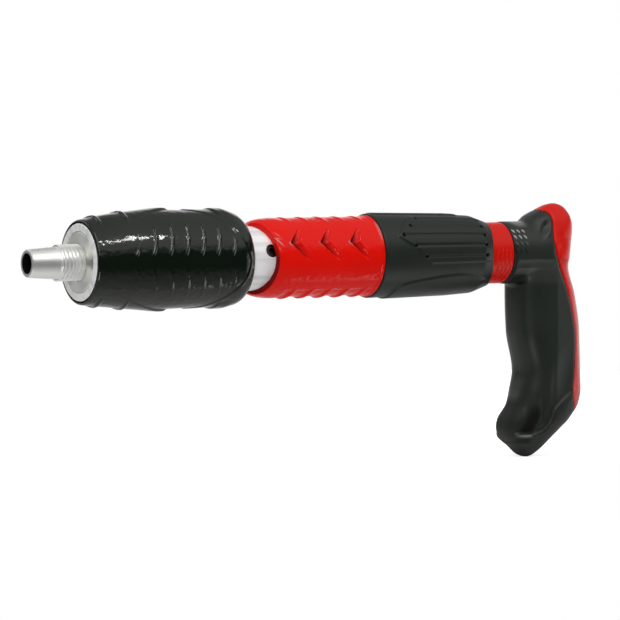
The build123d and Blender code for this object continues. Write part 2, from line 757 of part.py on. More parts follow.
def fins():
    """Fins that stand a little proud above and below, each half raked forwards as it comes down."""
    first = MIDDLE_FRONT + FIN_LEAD
    skin = ring(MIDDLE_FRONT + MIDDLE_NOSE, MIDDLE_END - MIDDLE_LIP, TUBE_R, MIDDLE_R + FIN_HEIGHT)
    half = Pos(0, FIN_REACH / 2, MIDDLE_R) * Box(FIN_WIDTH, FIN_REACH, MIDDLE_R)
    fin = Rot(Z=-FIN_SLANT) * half + Rot(Z=FIN_SLANT) * mirror(half, about=Plane.XZ)
    row = [Pos(-(first + FIN_PITCH * i), 0, 0) * fin for i in range(FIN_COUNT)]
    return [skin & (Rot(X=turn) * one) for turn in (0, 180) for one in row]


def rear_form(rise):
    """The rear sleeve's outside as a solid, raised by rise."""
    rim_r = COLLAR_R + FACE_GAP + REAR_RIM_WALL
    return turned(
        (MIDDLE_END, 0),
        (MIDDLE_END, REAR_FRONT_R - REAR_EDGE + rise),
        (MIDDLE_END + REAR_EDGE, REAR_FRONT_R + rise),
        (REAR_END - REAR_WAIST_SETBACK, REAR_WAIST_R + rise),
        (REAR_END - REAR_BEVEL, REAR_END_R + rise),
        (REAR_END, rim_r + rise),
        (REAR_END, 0),
    )


def rear_pad():
    """Raised pad under the rear sleeve, bounded above by its curved edge."""
    points = [(-(MIDDLE_END + back), height) for back, height in PAD_LINE]
    front = points[0]
    rear = points[-1]
    region = side_prism(
        Spline(*points),
        Line(rear, (rear[0], -PAD_OUTSIDE)),
        Line((rear[0], -PAD_OUTSIDE), (front[0], -PAD_OUTSIDE)),
        Line((front[0], -PAD_OUTSIDE), front),
    )
    return rear_form(PAD_RISE) & region


def rear_sleeve():
    """Rubber sleeve with raked flutes on each side, a spine on top and a scalloped rim."""
    bore_r = COLLAR_R + FACE_GAP
    spine_r = REAR_FRONT_R + SPINE_HEIGHT
    spine_front = MIDDLE_END + SPINE_LEAD
    spine_end = REAR_END - SPINE_SETBACK
    spine_middle = (spine_front + spine_end) / 2
    spine = Pos(-spine_middle, 0, spine_r / 2) * Box(spine_end - spine_front, SPINE_WIDTH, spine_r)
    spine &= rod(spine_front, spine_end, spine_r)
    tube_seat = rod(MIDDLE_END, TUBE_END, TUBE_R)
    tail_bore = rod(TUBE_END, REAR_END, bore_r)
    ahead = REAR_END - REAR_SCALLOP
    behind = REAR_END + REAR_SCALLOP
    scallop = side_prism(
        ThreePointArc((-behind, -REAR_FRONT_R), (-ahead, 0), (-behind, REAR_FRONT_R)),
        Line((-behind, REAR_FRONT_R), (-behind, -REAR_FRONT_R)),
    )
    return rear_form(0) + rear_pad() + spine - tube_seat - tail_bore - flutes() - scallop


def rear_radius(station):
    """The rear sleeve's outside radius between its front edge and its bevel."""
    waist = REAR_END - REAR_WAIST_SETBACK
    bevel = REAR_END - REAR_BEVEL
    if station < waist:
        return REAR_FRONT_R + (REAR_WAIST_R - REAR_FRONT_R) * (station - MIDDLE_END) / (waist - MIDDLE_END)
    return REAR_WAIST_R + (REAR_END_R - REAR_WAIST_R) * (station - waist) / (bevel - waist)


def flutes():
    """Long round-ended grooves down both sides, each parallel to the skin it is sunk in."""
    end = REAR_END - REAR_BEVEL / 2
    cutters = []
    for i in range(FLUTE_COUNT):
        front = MIDDLE_END + FLUTE_LEAD + FLUTE_RAKE * abs(i - FLUTE_COUNT // 2)
        first = Vector(-front, rear_radius(front) + FLUTE_R - FLUTE_SINK, 0)
        last = Vector(-end, rear_radius(end) + FLUTE_R - FLUTE_SINK, 0)
        run = last - first
        start = Plane(origin=first, z_dir=run)
        groove = extrude(start * Circle(FLUTE_R), run.length) + Pos(first) * Sphere(FLUTE_R)
        turn = FLUTE_FIRST_TURN + FLUTE_PITCH_TURN * i
        cutters += [Rot(X=turn) * groove, Rot(X=180 - turn) * groove]
    return cutters


# Handle


def grip_form(inset):
    """The grip's full form from foot to hump, drawn in all round by inset."""
    foot = GRIP_SECTIONS[0][0] + inset
    top = GRIP_SECTIONS[-1][0] - inset
    squeeze = (top - foot) / (GRIP_SECTIONS[-1][0] - GRIP_SECTIONS[0][0])
    sections = []
    for height, front, rear, half in GRIP_SECTIONS:
        depth = (rear - front) / 2
        share = max(1 - inset / depth, GRIP_LEAST_SHARE)
        thin = max(1 - inset / half, GRIP_LEAST_SHARE)
        level = foot + squeeze * (height - GRIP_SECTIONS[0][0])
        middle = COLLAR_END + (front + rear) / 2
        sections.append(Pos(-middle, 0, level) * Ellipse(depth * share, half * thin))
    return loft(sections)


def strap_region():
    """Everything behind the line of the back strap's front edge."""
    points = [(-(COLLAR_END + back), height) for back, height in STRAP_LINE]
    top = points[0]
    foot = points[-1]
    outside = -(COLLAR_END + STRAP_LINE[-1][0] + STRAP_OUTSIDE)
    return side_prism(
        Spline(*points),
        Line(foot, (outside, foot[1])),
        Line((outside, foot[1]), (outside, top[1])),
        Line((outside, top[1]), top),
    )


def handle_form():
    """The neck and grip together."""
    return grip_form(0) + rod(COLLAR_END, NECK_END, NECK_OUTER_R)


def core_tang():
    """The hidden core under the black grip, with the grooved collar in front."""
    collar = rod(COLLAR_FRONT, COLLAR_END, COLLAR_R)
    first = (COLLAR_FRONT + COLLAR_END - COLLAR_GROOVE_PITCH * (COLLAR_GROOVES - 1)) / 2
    for i in range(COLLAR_GROOVES):
        middle = first + COLLAR_GROOVE_PITCH * i
        half = COLLAR_GROOVE_WIDTH / 2
        collar -= ring(middle - half, middle + half, COLLAR_R - COLLAR_GROOVE_DEPTH, COLLAR_R + BEYOND)
    return collar + rod(COLLAR_END, NECK_END, NECK_OUTER_R - GRIP_WALL) + grip_form(GRIP_WALL)


def handle_core():
    """Red moulded core: collar, tang and back strap in one piece."""
    whole = core_tang() + (handle_form() & strap_region())
    stud = rod(COLLAR_FRONT, COLLAR_FRONT + STUD_LENGTH, STUD_R)
    return whole - stud - handle_pin()


def handle_grip():
    """Black soft grip moulded over the core, in front of the back strap."""
    return handle_form() - strap_region() - core_tang()


def handle_pin():
    """Cross pin through the core's neck and the stud, hidden under the grip."""
    neck_r = NECK_OUTER_R - GRIP_WALL
    reach = sqrt(neck_r**2 - PIN_CROSS_R**2) - FACE_GAP
    return Pos(-CROSS_PIN_STATION, 0, 0) * Cylinder(PIN_CROSS_R, 2 * reach)


NODES = {
    "muzzle_nose": muzzle_nose(),
    "breech_plug": breech_plug(),
    "silencer_tube": silencer_tube(),
    "wiper_ring": wiper_ring(),
    "front_sleeve": front_sleeve(),
    "push_tube": push_tube(),
    "stop_ring": stop_ring(),
    "baffle_front": baffle(HUB_END),
    "baffle_spacer": baffle_spacer(),
    "baffle_rear": baffle(BAFFLES_END - BAFFLE),
    "return_spring": spring(BAFFLES_END, TUBE_FRONT, RETURN_MEAN_R, RETURN_WIRE_R, RETURN_TURNS),
    "firing_pin": firing_pin(),
    "pin_spring": spring(
        BREECH + PIN_GUIDE, PIN_HEAD_FRONT, PIN_SPRING_MEAN_R, PIN_SPRING_WIRE_R, PIN_SPRING_TURNS
    ),
    "pin_retainer": pin_retainer(),
    "striker_rod": striker_rod(),
    "hammer": hammer(),
    "sear_ball_upper": sear_ball(1),
    "sear_ball_lower": sear_ball(-1),
    "body_tube": body_tube(),
    "lock_screws": lock_screws(),
    "front_bush": front_bush(),
    "release_bush": release_bush(),
    "main_spring": spring(HAMMER_END, SPRING_END, MAIN_MEAN_R, MAIN_WIRE_R, MAIN_TURNS),
    "recoil_buffer": recoil_buffer(),
    "rear_plug": rear_plug(),
    "middle_sleeve": middle_sleeve(),
    "rear_sleeve": rear_sleeve(),
    "handle_core": handle_core(),
    "handle_grip": handle_grip(),
    "handle_pin": handle_pin(),
}

os.makedirs("parts", exist_ok=True)
for name, shape in NODES.items():
    export_step(shape, f"parts/{name}.step")
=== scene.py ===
import math
from functools import partial

import bmesh
import bpy
import numpy as np
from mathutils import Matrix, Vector


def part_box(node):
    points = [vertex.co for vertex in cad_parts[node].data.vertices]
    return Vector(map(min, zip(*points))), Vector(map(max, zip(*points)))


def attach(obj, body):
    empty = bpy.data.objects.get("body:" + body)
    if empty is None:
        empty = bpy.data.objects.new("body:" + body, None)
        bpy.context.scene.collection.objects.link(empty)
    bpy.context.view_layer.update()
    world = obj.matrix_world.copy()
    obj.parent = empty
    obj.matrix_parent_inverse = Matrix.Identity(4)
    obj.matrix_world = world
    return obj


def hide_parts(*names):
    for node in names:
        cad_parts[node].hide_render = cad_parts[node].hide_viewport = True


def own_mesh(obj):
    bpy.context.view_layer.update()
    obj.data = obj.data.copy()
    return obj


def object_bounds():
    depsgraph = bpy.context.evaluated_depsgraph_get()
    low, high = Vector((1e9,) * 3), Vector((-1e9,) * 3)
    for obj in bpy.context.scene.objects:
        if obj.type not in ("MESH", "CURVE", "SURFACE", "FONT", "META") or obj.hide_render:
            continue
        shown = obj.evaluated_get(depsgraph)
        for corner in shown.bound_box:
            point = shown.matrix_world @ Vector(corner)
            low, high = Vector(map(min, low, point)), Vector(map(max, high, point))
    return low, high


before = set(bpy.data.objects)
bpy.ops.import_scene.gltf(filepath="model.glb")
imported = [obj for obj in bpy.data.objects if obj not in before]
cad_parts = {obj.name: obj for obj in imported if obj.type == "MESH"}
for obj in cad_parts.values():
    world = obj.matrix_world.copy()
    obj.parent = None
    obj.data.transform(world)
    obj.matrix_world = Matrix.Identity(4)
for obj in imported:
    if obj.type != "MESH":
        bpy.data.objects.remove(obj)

cad_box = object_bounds()


# Body tube: one length of drawn steel tube, ground round and polished, that the whole tool is built on.
# Its front end slides inside the front group. Two short set screws lock the release bush inside it.

def set_inputs(node, inputs):
    """Sets a node's inputs, by socket name or number, to values, to nodes or to their outputs."""
    for key, value in inputs.items():
        if isinstance(value, bpy.types.Node):
            value = value.outputs[0]
        if isinstance(value, bpy.types.NodeSocket):
            node.id_data.links.new(value, node.inputs[key])
        else:
            node.inputs[key].default_value = value


def wire(tree, kind, inputs=None, **settings):
    """Adds a node to a tree, with its settings and its inputs."""
    node = tree.nodes.new(kind)
    for name, value in settings.items():
        setattr(node, name, value)
    set_inputs(node, inputs or {})
    return node


def reckon(tree, operation, *values):
    """One step of arithmetic in a node tree."""
    return wire(tree, "ShaderNodeMath", dict(enumerate(values)), operation=operation).outputs[0]


def ramp(tree, value, start, end, low=0.0, high=1.0, kind="LINEAR"):
    """A value that goes from low to high while another goes from start to end."""
    return wire(tree, "ShaderNodeMapRange", {
        "Value": value, "From Min": start, "From Max": end, "To Min": low, "To Max": high},
        interpolation_type=kind).outputs[0]


def new_tree(name, kind, inputs, outputs):
    """An empty node tree with named sockets, what it is given, and ways to add a node or a sum to it."""
    tree = bpy.data.node_groups.new(name, kind)
    for way, sockets in (("INPUT", inputs), ("OUTPUT", outputs)):
        for socket in sockets:
            holds = socket if socket in ("Geometry", "Material") else "Float"
            tree.interface.new_socket(socket, in_out=way, socket_type="NodeSocket" + holds)
    given = tree.nodes.new("NodeGroupInput").outputs
    return tree, given, partial(wire, tree), partial(reckon, tree)


# Tool marks: fine rings that run round the bore on every turned face, long streaks along a drawn tube, and
# faint smears from handling.
turned_lines, given, add, step = new_tree(
    "turned_lines", "ShaderNodeTree", ["Lines per metre"], ["Lines", "Smears", "Streaks", "From bore"])
place = add("ShaderNodeTexCoord").outputs["Object"]
axes = add("ShaderNodeSeparateXYZ", {0: place}).outputs
across = add("ShaderNodeCombineXYZ", {"Y": axes["Y"], "Z": axes["Z"]})
from_bore = add("ShaderNodeVectorMath", {0: across}, operation="LENGTH").outputs["Value"]
feed = step("MULTIPLY_ADD", from_bore, 1.4, axes["X"])
rings = add("ShaderNodeTexNoise", {
    "W": feed, "Scale": given["Lines per metre"], "Detail": 2.0}, noise_dimensions="1D")
smears = add("ShaderNodeTexNoise", {
    "Vector": place, "Scale": 55.0, "Detail": 4.0, "Distortion": 0.6})
outward = add("ShaderNodeVectorMath", {0: across}, operation="NORMALIZE")
streaks = add("ShaderNodeTexNoise", {"Vector": outward, "Scale": 4.2, "Detail": 3.0})
add("NodeGroupOutput", {"Lines": rings, "Smears": smears, "Streaks": ramp(turned_lines, streaks, 0.36, 0.52),
                        "From bore": from_bore})


def new_material(name):
    """A material, its node tree and its shader."""
    material = bpy.data.materials.new(name)
    material.use_nodes = True
    return material, material.node_tree, material.node_tree.nodes["Principled BSDF"]


def tinted(tree, share, low, high):
    """A colour between two others, each a plain colour or another node's output."""
    low, high = ((*end, 1.0) if isinstance(end, tuple) else end for end in (low, high))
    return wire(tree, "ShaderNodeMix", {0: share, 6: low, 7: high}, data_type="RGBA").outputs[2]


def turned_metal(name, bright, dull, roughness, lines, depth, metal=1.0, brushed=0.0, soot=0.0,
                 shade="Smears"):
    """A metal with lathe rings, shaded by its smears or streaks. Below a metal of 1 it is frosted white,
    brushed spreads its shine across the rings, and soot is the radius of a bore that powder has blackened."""
    material, tree, shader = new_material(name)
    marks = wire(tree, "ShaderNodeGroup", {"Lines per metre": lines}, node_tree=turned_lines).outputs
    tint = tinted(tree, marks[shade], dull, bright)
    if soot:
        clean = ramp(tree, marks["From bore"], soot, soot * 1.02)
        tint = tinted(tree, clean, (0.02, 0.02, 0.02), tint)
    polish = ramp(tree, marks["Smears"], 0.3, 0.7, roughness * 0.85, roughness * 1.2)
    relief = wire(tree, "ShaderNodeBump", {"Strength": 0.6, "Distance": depth, "Height": marks["Lines"]})
    set_inputs(shader, {"Metallic": metal, "Base Color": tint, "Roughness": polish, "Normal": relief})
    if brushed:
        round_bore = wire(tree, "ShaderNodeTangent", direction_type="RADIAL", axis="X")
        set_inputs(shader, {
            "Anisotropic": brushed, "Anisotropic Rotation": 0.25, "Tangent": round_bore})
    return material


def finish_nodes(material, *nodes):
    """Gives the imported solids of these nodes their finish."""
    for node in nodes:
        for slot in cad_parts[node].material_slots:
            slot.material = material


bright_tube = turned_metal("bright_tube_steel", (1.0, 1.0, 1.0), (0.84, 0.84, 0.85), 0.80, 2600.0, 0.00001,
                           metal=0.45, shade="Streaks")
finish_nodes(bright_tube, "body_tube", "silencer_tube")
black_screw = turned_metal("blackened_screw_steel", (0.09, 0.09, 0.09), (0.05, 0.05, 0.05), 0.36, 3000.0,
                           0.00002)
finish_nodes(black_screw, "lock_screws")


# Works inside the tube: turned and hardened steel pieces, a snap ring of spring wire and a bronze guide bush.
# They are pressed, pinned or simply stacked in the tube, and only service shows them.

hard_steel = turned_metal("hardened_steel", (0.52, 0.51, 0.50), (0.36, 0.35, 0.34), 0.28, 1800.0, 0.00002)
finish_nodes(hard_steel, "push_tube", "baffle_front", "baffle_spacer", "baffle_rear", "firing_pin",
             "pin_retainer", "striker_rod", "hammer", "sear_ball_upper", "sear_ball_lower", "release_bush",
             "rear_plug", "handle_pin")
spring_wire = turned_metal("spring_wire", (0.40, 0.39, 0.38), (0.24, 0.23, 0.23), 0.32, 900.0, 0.00001)
finish_nodes(spring_wire, "stop_ring")
bronze = turned_metal("cast_bronze", (0.66, 0.42, 0.20), (0.48, 0.29, 0.13), 0.38, 1500.0, 0.00002)
finish_nodes(bronze, "front_bush")


# Springs: three compression springs, each coiled from one length of round oil-tempered wire and held only by
# its seats: the return spring behind the baffles, a small one under the head of the firing pin, and the main
# spring behind the hammer. Each is a fixed coil that rides with one body.

MM = 0.001


def about_bore(node):
    """A node's front station, rear station and radius, in millimetres behind the muzzle tip."""
    low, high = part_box(node)
    return -high.x / MM, -low.x / MM, (high.y - low.y) / 2 / MM


def hand_over(tree, geometry, material):
    """Ends a node tree: what it made leaves it as one plain mesh in its material."""
    solid = wire(tree, "GeometryNodeRealizeInstances", {0: geometry})
    dressed = wire(tree, "GeometryNodeSetMaterial", {"Geometry": solid, "Material": material})
    wire(tree, "NodeGroupOutput", {"Geometry": dressed})


coiled_wire, given, add, step = new_tree(
    "coiled_wire", "GeometryNodeTree", ["Front", "Length", "Turns", "Coil Radius", "Wire Radius", "Material"],
    ["Geometry"])
winding = add("GeometryNodeCurveSpiral", {
    "Resolution": 40, "Rotations": given["Turns"], "Start Radius": given["Coil Radius"],
    "End Radius": given["Coil Radius"], "Height": given["Length"], "Reverse": True})
front = add("ShaderNodeCombineXYZ", {"X": given["Front"]})
along_bore = add("GeometryNodeTransform", {
    "Geometry": winding, "Translation": front, "Rotation": (0.0, -math.pi / 2, 0.0)})
section = add("GeometryNodeCurvePrimitiveCircle", {
    "Resolution": 16, "Radius": given["Wire Radius"]})
coil = add("GeometryNodeCurveToMesh", {
    "Curve": along_bore, "Profile Curve": section, "Fill Caps": True})
hand_over(coiled_wire, coil, given["Material"])


def set_out(name, data):
    """A new object in the scene."""
    made = bpy.data.objects.new(name, data)
    bpy.context.scene.collection.objects.link(made)
    return made


def grow(piece, tree, **sizes):
    """Runs a node tree on a piece and keeps what it makes as the piece's plain mesh."""
    modifier = piece.modifiers.new(tree.name, "NODES")
    modifier.node_group = tree
    for socket in tree.interface.items_tree:
        size = socket.name.replace(" ", "_").lower()
        if socket.in_out == "INPUT" and size in sizes:
            modifier[socket.identifier] = sizes[size]
    made = piece.evaluated_get(bpy.context.evaluated_depsgraph_get())
    mesh = bpy.data.meshes.new_from_object(made)
    piece.modifiers.clear()
    piece.data = mesh


def fit(piece, material, body, slot, *nodes):
    """Gives a finished piece its material, the body it moves with and the nodes it stands for."""
    piece.data.materials.clear()
    piece.data.materials.append(material)
    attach(piece, body)
    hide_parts(*nodes)


for node, body, joint, wire_radius, turns, seated in (
        ("return_spring", "front_group", "press", 0.9, 4, "front"),
        ("pin_spring", "front_group", "pin_stroke", 0.3, 3, "front"),
        ("main_spring", "body", "striker_cock", 1.3, 8, "rear")):
    front, rear, reach = about_bore(node)
    spring = set_out(node + "_coil", bpy.data.meshes.new(node + "_coil"))
    grow(spring, coiled_wire, front=-(front + wire_radius) * MM, length=(rear - front - 2 * wire_radius) * MM,
         turns=float(turns), coil_radius=(reach - wire_radius) * MM, wire_radius=wire_radius * MM,
         material=spring_wire)
    fit(spring, spring_wire, body, "spring_steel", node)
    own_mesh(spring)


# Seals: a wiper ring between the two tubes and a buffer behind the main spring, both moulded in black rubber
# and pushed into place. Like every moulded skin here they have a fine grain, slow ripples and broad patches.

moulded_skin, given, add, step = new_tree(
    "moulded_skin", "ShaderNodeTree", ["Grain per metre", "Ripples per metre", "Patches per metre"],
    ["Grain", "Ripples", "Patches"])
place = add("ShaderNodeTexCoord").outputs["Object"]
add("NodeGroupOutput", {
    name: add("ShaderNodeTexNoise", {
        "Vector": place, "Scale": given[name + " per metre"], "Detail": detail})
    for name, detail in (("Grain", 2.0), ("Ripples", 1.0), ("Patches", 3.0))})


def moulding(name, colour, rubbed_and_highlit, polished, dull, grain, depth, ripple, specular):
    """A moulded rubber or plastic, between its own colour and the colour where hands polish it. It is painted
    dark and matt as shade where the piece's painted shade attribute is 1, and pale and shiny as a highlight
    where its painted highlight attribute is 1."""
    material, tree, shader = new_material(name)
    skin = wire(tree, "ShaderNodeGroup", {
        "Grain per metre": grain, "Ripples per metre": 290.0, "Patches per metre": 38.0},
        node_tree=moulded_skin).outputs
    painted_shade, worn = (wire(tree, "ShaderNodeAttribute", attribute_name=own).outputs["Fac"]
                  for own in ("painted_shade", "worn"))
    tint = tinted(tree, skin["Patches"], colour, rubbed_and_highlit)
    # Painted shade darkens the colour to a sixth of itself, and a painted highlight turns it pale grey.
    tint = tinted(tree, painted_shade, tint, tuple(0.15 * channel for channel in colour))
    tint = tinted(tree, worn, tint, (0.42, 0.42, 0.41))
    polish = ramp(tree, skin["Patches"], 0.3, 0.7, polished, dull)
    for share, roughness in ((painted_shade, 0.95), (worn, 0.08)):
        polish = wire(tree, "ShaderNodeMix", {0: share, 2: polish, 3: roughness}, data_type="FLOAT")
    wavy = wire(tree, "ShaderNodeBump", {"Strength": 1.0, "Distance": ripple, "Height": skin["Ripples"]})
    relief = wire(tree, "ShaderNodeBump", {
        "Strength": 0.5, "Distance": depth, "Height": skin["Grain"], "Normal": wavy})
    set_inputs(shader, {
        "Specular IOR Level": specular, "Base Color": tint, "Roughness": polish, "Normal": relief})
    return material


seal_rubber = moulding("seal_rubber", (0.016, 0.016, 0.017), (0.026, 0.026, 0.026), 0.45, 0.6, 2400.0,
                       0.00004, 0.0, specular=0.4)
finish_nodes(seal_rubber, "wiper_ring", "recoil_buffer")


# Nose and breech plug: the nose is turned from one bar with a long bore, a cone and a coarse thread, and it
# screws into the plug, whose lathe-faced disc closes the front of the tube. The bore is black with soot.

nose_steel = turned_metal("nose_steel", (0.95, 0.95, 0.93), (0.84, 0.84, 0.81), 0.30, 1500.0, 0.00004,
                          metal=0.7, soot=0.00507)
finish_nodes(nose_steel, "muzzle_nose")
plug_steel = turned_metal("plug_steel", (0.90, 0.90, 0.86), (0.72, 0.72, 0.68), 0.50, 900.0, 0.00006,
                          brushed=0.9)
finish_nodes(plug_steel, "breech_plug")


# Front sleeve: a thick wet-looking black rubber sleeve, moulded in one piece and stretched over the silencer.
# A sunk leaf-shaped panel with thin ribs wraps each side, and short ridges cross the top and bottom.

def ease(value, start, end):
    """Rises smoothly from 0 at start to 1 at end."""
    share = np.clip((value - start) / (end - start), 0.0, 1.0)
    return share * share * (3.0 - 2.0 * share)


def bump(away, half):
    """A round bump, 1 in its middle and fading out past a half width."""
    return np.exp(-(away / half) ** 2)


def rounded(inward, reach, drop):
    """How far an edge is rounded off, by the distance inward from it."""
    out = np.clip(1.0 - inward / reach, 0.0, 1.0)
    return drop * (1.0 - np.sqrt(1.0 - out ** 2))


def from_side(turn):
    """How far a turn about the bore lies above the nearer side, the same on the left and the right."""
    return np.arctan2(np.sin(turn), np.abs(np.cos(turn)))


def line_through(points, at):
    """A smooth line through (place, value) points, read at any places along it."""
    place, value = np.array(points, float).T
    rise = np.diff(value) / np.diff(place)
    slope = np.concatenate((rise[:1], np.zeros(len(rise) - 1), rise[-1:]))
    same = rise[:-1] * rise[1:] > 0.0
    slope[1:-1][same] = 2.0 * rise[:-1][same] * rise[1:][same] / (rise[:-1] + rise[1:])[same]
    cell = np.clip(np.searchsorted(place, at) - 1, 0, len(place) - 2)
    length = place[cell + 1] - place[cell]
    t = np.clip((at - place[cell]) / length, 0.0, 1.0)
    return (value[cell] * (1 + 2 * t) * (1 - t) ** 2 + value[cell + 1] * (3 - 2 * t) * t ** 2
            + length * (slope[cell] * t * (1 - t) ** 2 - slope[cell + 1] * (1 - t) * t ** 2))


def depth_inside(across, up, outline):
    """How far each point of a flat drawing lies inside a closed outline; negative outside."""
    nearest = np.full(across.shape, np.inf)
    inside = np.zeros(across.shape, bool)
    for (x0, y0), (x1, y1) in zip(outline, np.roll(outline, -1, axis=0)):
        run, rise = x1 - x0, y1 - y0
        share = np.clip(((across - x0) * run + (up - y0) * rise) / (run * run + rise * rise), 0.0, 1.0)
        nearest = np.minimum(nearest, np.hypot(across - x0 - share * run, up - y0 - share * rise))
        if rise:
            inside ^= ((y0 > up) != (y1 > up)) & (across < x0 + (up - y0) / rise * run)
    return np.where(inside, nearest, -nearest)


def skinned(name, points, faces, crease):
    """A smooth piece from its points, in millimetres, and its faces, sharp past a crease angle."""
    mesh = bpy.data.meshes.new(name)
    mesh.from_pydata((points * MM).tolist(), [], faces.tolist())
    mesh.shade_smooth()
    mesh.set_sharp_from_angle(angle=math.radians(crease))
    return set_out(name, mesh)


def sleeve(name, front, rear, bore, skin, rows, spokes):
    """A closed sleeve about the bore, from its two edges, its bore and its outside skin. An edge is a
    station or a function of the turn; the bore is a radius or a function of the station."""
    turn = np.linspace(0.0, 2.0 * np.pi, spokes, endpoint=False)[None, :]
    front, rear = (edge(turn) if callable(edge) else edge + 0.0 * turn for edge in (front, rear))
    even = np.linspace(0.0, 1.0, rows)[:, None]
    station = front + (rear - front) * (even - 0.08 * np.sin(2.0 * np.pi * even))
    radius = skin(station, turn)
    inside = front + (rear - front) * np.linspace(1.0, 0.0, 60)[:, None]
    hole = (bore(inside) if callable(bore) else bore) + 0.0 * inside
    wall = np.array([0.15, 0.5, 0.85])[:, None]
    rear_wall = radius[-1:] + (hole[:1] - radius[-1:]) * wall
    front_wall = hole[-1:] + (radius[:1] - hole[-1:]) * wall
    station = np.vstack((station, station[-1:].repeat(3, 0), inside, station[:1].repeat(3, 0)))
    radius = np.vstack((radius, rear_wall, hole, front_wall))
    points = np.stack((-station, radius * np.cos(turn), radius * np.sin(turn)), axis=-1).reshape(-1, 3)
    here = np.arange(station.size).reshape(station.shape)
    next_row, next_spoke = np.roll(here, -1, axis=0), np.roll(here, -1, axis=1)
    faces = np.stack((here, next_row, np.roll(next_row, -1, axis=1), next_spoke), axis=-1).reshape(-1, 4)
    return skinned(name, points, faces, 50.0)


def laid_out(piece):
    """The station, side and height of each point of a piece, in millimetres."""
    points = np.array([point.co for point in piece.data.vertices]) / MM
    return -points[:, 0], points[:, 1], points[:, 2]


def mark(piece, name, values):
    """Keeps one number per point of a piece as its own attribute."""
    kept = piece.data.attributes.new(name, "FLOAT", "POINT")
    kept.data.foreach_set("value", np.ascontiguousarray(values, np.float32))


# Rows of ridges or grooves across a sleeve: they stand square to the bore at an even pitch, lean with the
# distance from the middle, curl forward below a reach and show where the piece's row_mask lets them.
ridge_rows, given, add, step = new_tree(
    "ridge_rows", "GeometryNodeTree",
    ["Geometry", "First", "Pitch", "Count", "Half Width", "Height", "Lean", "Curl", "Reach", "Material"],
    ["Geometry"])
axes = add("ShaderNodeSeparateXYZ", {0: add("GeometryNodeInputPosition")}).outputs
leaned = step("MULTIPLY_ADD", step("ABSOLUTE", axes["Y"]), given["Lean"], axes["X"])
short = step("SUBTRACT", given["Reach"], step("ABSOLUTE", axes["Z"]))
curled = step("MULTIPLY", step("MULTIPLY", short, short), given["Curl"])
before_first = step("ADD", step("SUBTRACT", leaned, curled), given["First"])
number = step("DIVIDE", before_first, step("MULTIPLY", given["Pitch"], -1.0))
nearest = add("ShaderNodeClamp", {
    "Value": step("ROUND", number), "Max": step("SUBTRACT", given["Count"], 1.0)})
away = step("MULTIPLY", step("SUBTRACT", number, nearest), given["Pitch"])
crown = ramp(ridge_rows, step("ABSOLUTE", away), given["Half Width"], 0.0, kind="SMOOTHSTEP")
mask = add("GeometryNodeInputNamedAttribute", {"Name": "row_mask"}, data_type="FLOAT")
raised = step("MULTIPLY", step("MULTIPLY", crown, mask), given["Height"])
across = add("ShaderNodeCombineXYZ", {"Y": axes["Y"], "Z": axes["Z"]})
outward = add("ShaderNodeVectorMath", {0: across}, operation="NORMALIZE")
shift = add("ShaderNodeVectorMath", {0: outward, "Scale": raised}, operation="SCALE")
ridged = add("GeometryNodeSetPosition", {"Geometry": given["Geometry"], "Offset": shift})
hand_over(ridge_rows, ridged, given["Material"])


FRONT_EDGE, FRONT_END, FRONT_SWELL = about_bore("front_sleeve")
SILENCER_END, SILENCER_RADIUS = about_bore("silencer_tube")[1:]
TUBE_RADIUS = about_bore("body_tube")[2]
FRONT_RIM, FRONT_LIP = SILENCER_RADIUS + 1.7, TUBE_RADIUS + 0.9
SWELL_AT, SHOULDER_AT, WAIST = 71.4, 105.0, FRONT_SWELL - 0.7
PANEL_START, PANEL_TAIL, PANEL_DEPTH = 43.4, 111.6, 0.42
PANEL_LINE = [(43.4, 19.5), (48.5, 23.0), (60.0, 30.0), (72.0, 36.5), (81.0, 40.5), (89.0, 35.5),
              (97.4, 25.5), (105.0, 16.0), (109.5, 8.5), (111.6, 0.0)]
RIDGES, RIDGE_HALF, RIDGE_HEIGHT, RIDGE_LEAN = (35.8, 50.1), 1.5, 0.8, 0.14
RIB_FIRST, RIB_PITCH, RIBS, RIB_CURL, RIB_REACH = 51.7, 8.85, 7, 13.5, 20.0
RIB_ZONE = [(45.5, 3.0), (49.5, 8.0), (54.5, 15.0), (59.0, 19.5), (70.0, 20.5), (92.0, 20.8), (98.0, 19.0),
            (104.0, 11.5), (108.0, 3.0)]

panel_stations = np.concatenate((np.linspace(PANEL_START, 105.0, 30), np.linspace(106.0, PANEL_TAIL, 10)))
panel_half = line_through(PANEL_LINE, panel_stations)
panel_outline = np.vstack((np.stack((panel_stations, panel_half), axis=1),
                           np.stack((panel_stations, -panel_half), axis=1)[::-1][1:]))


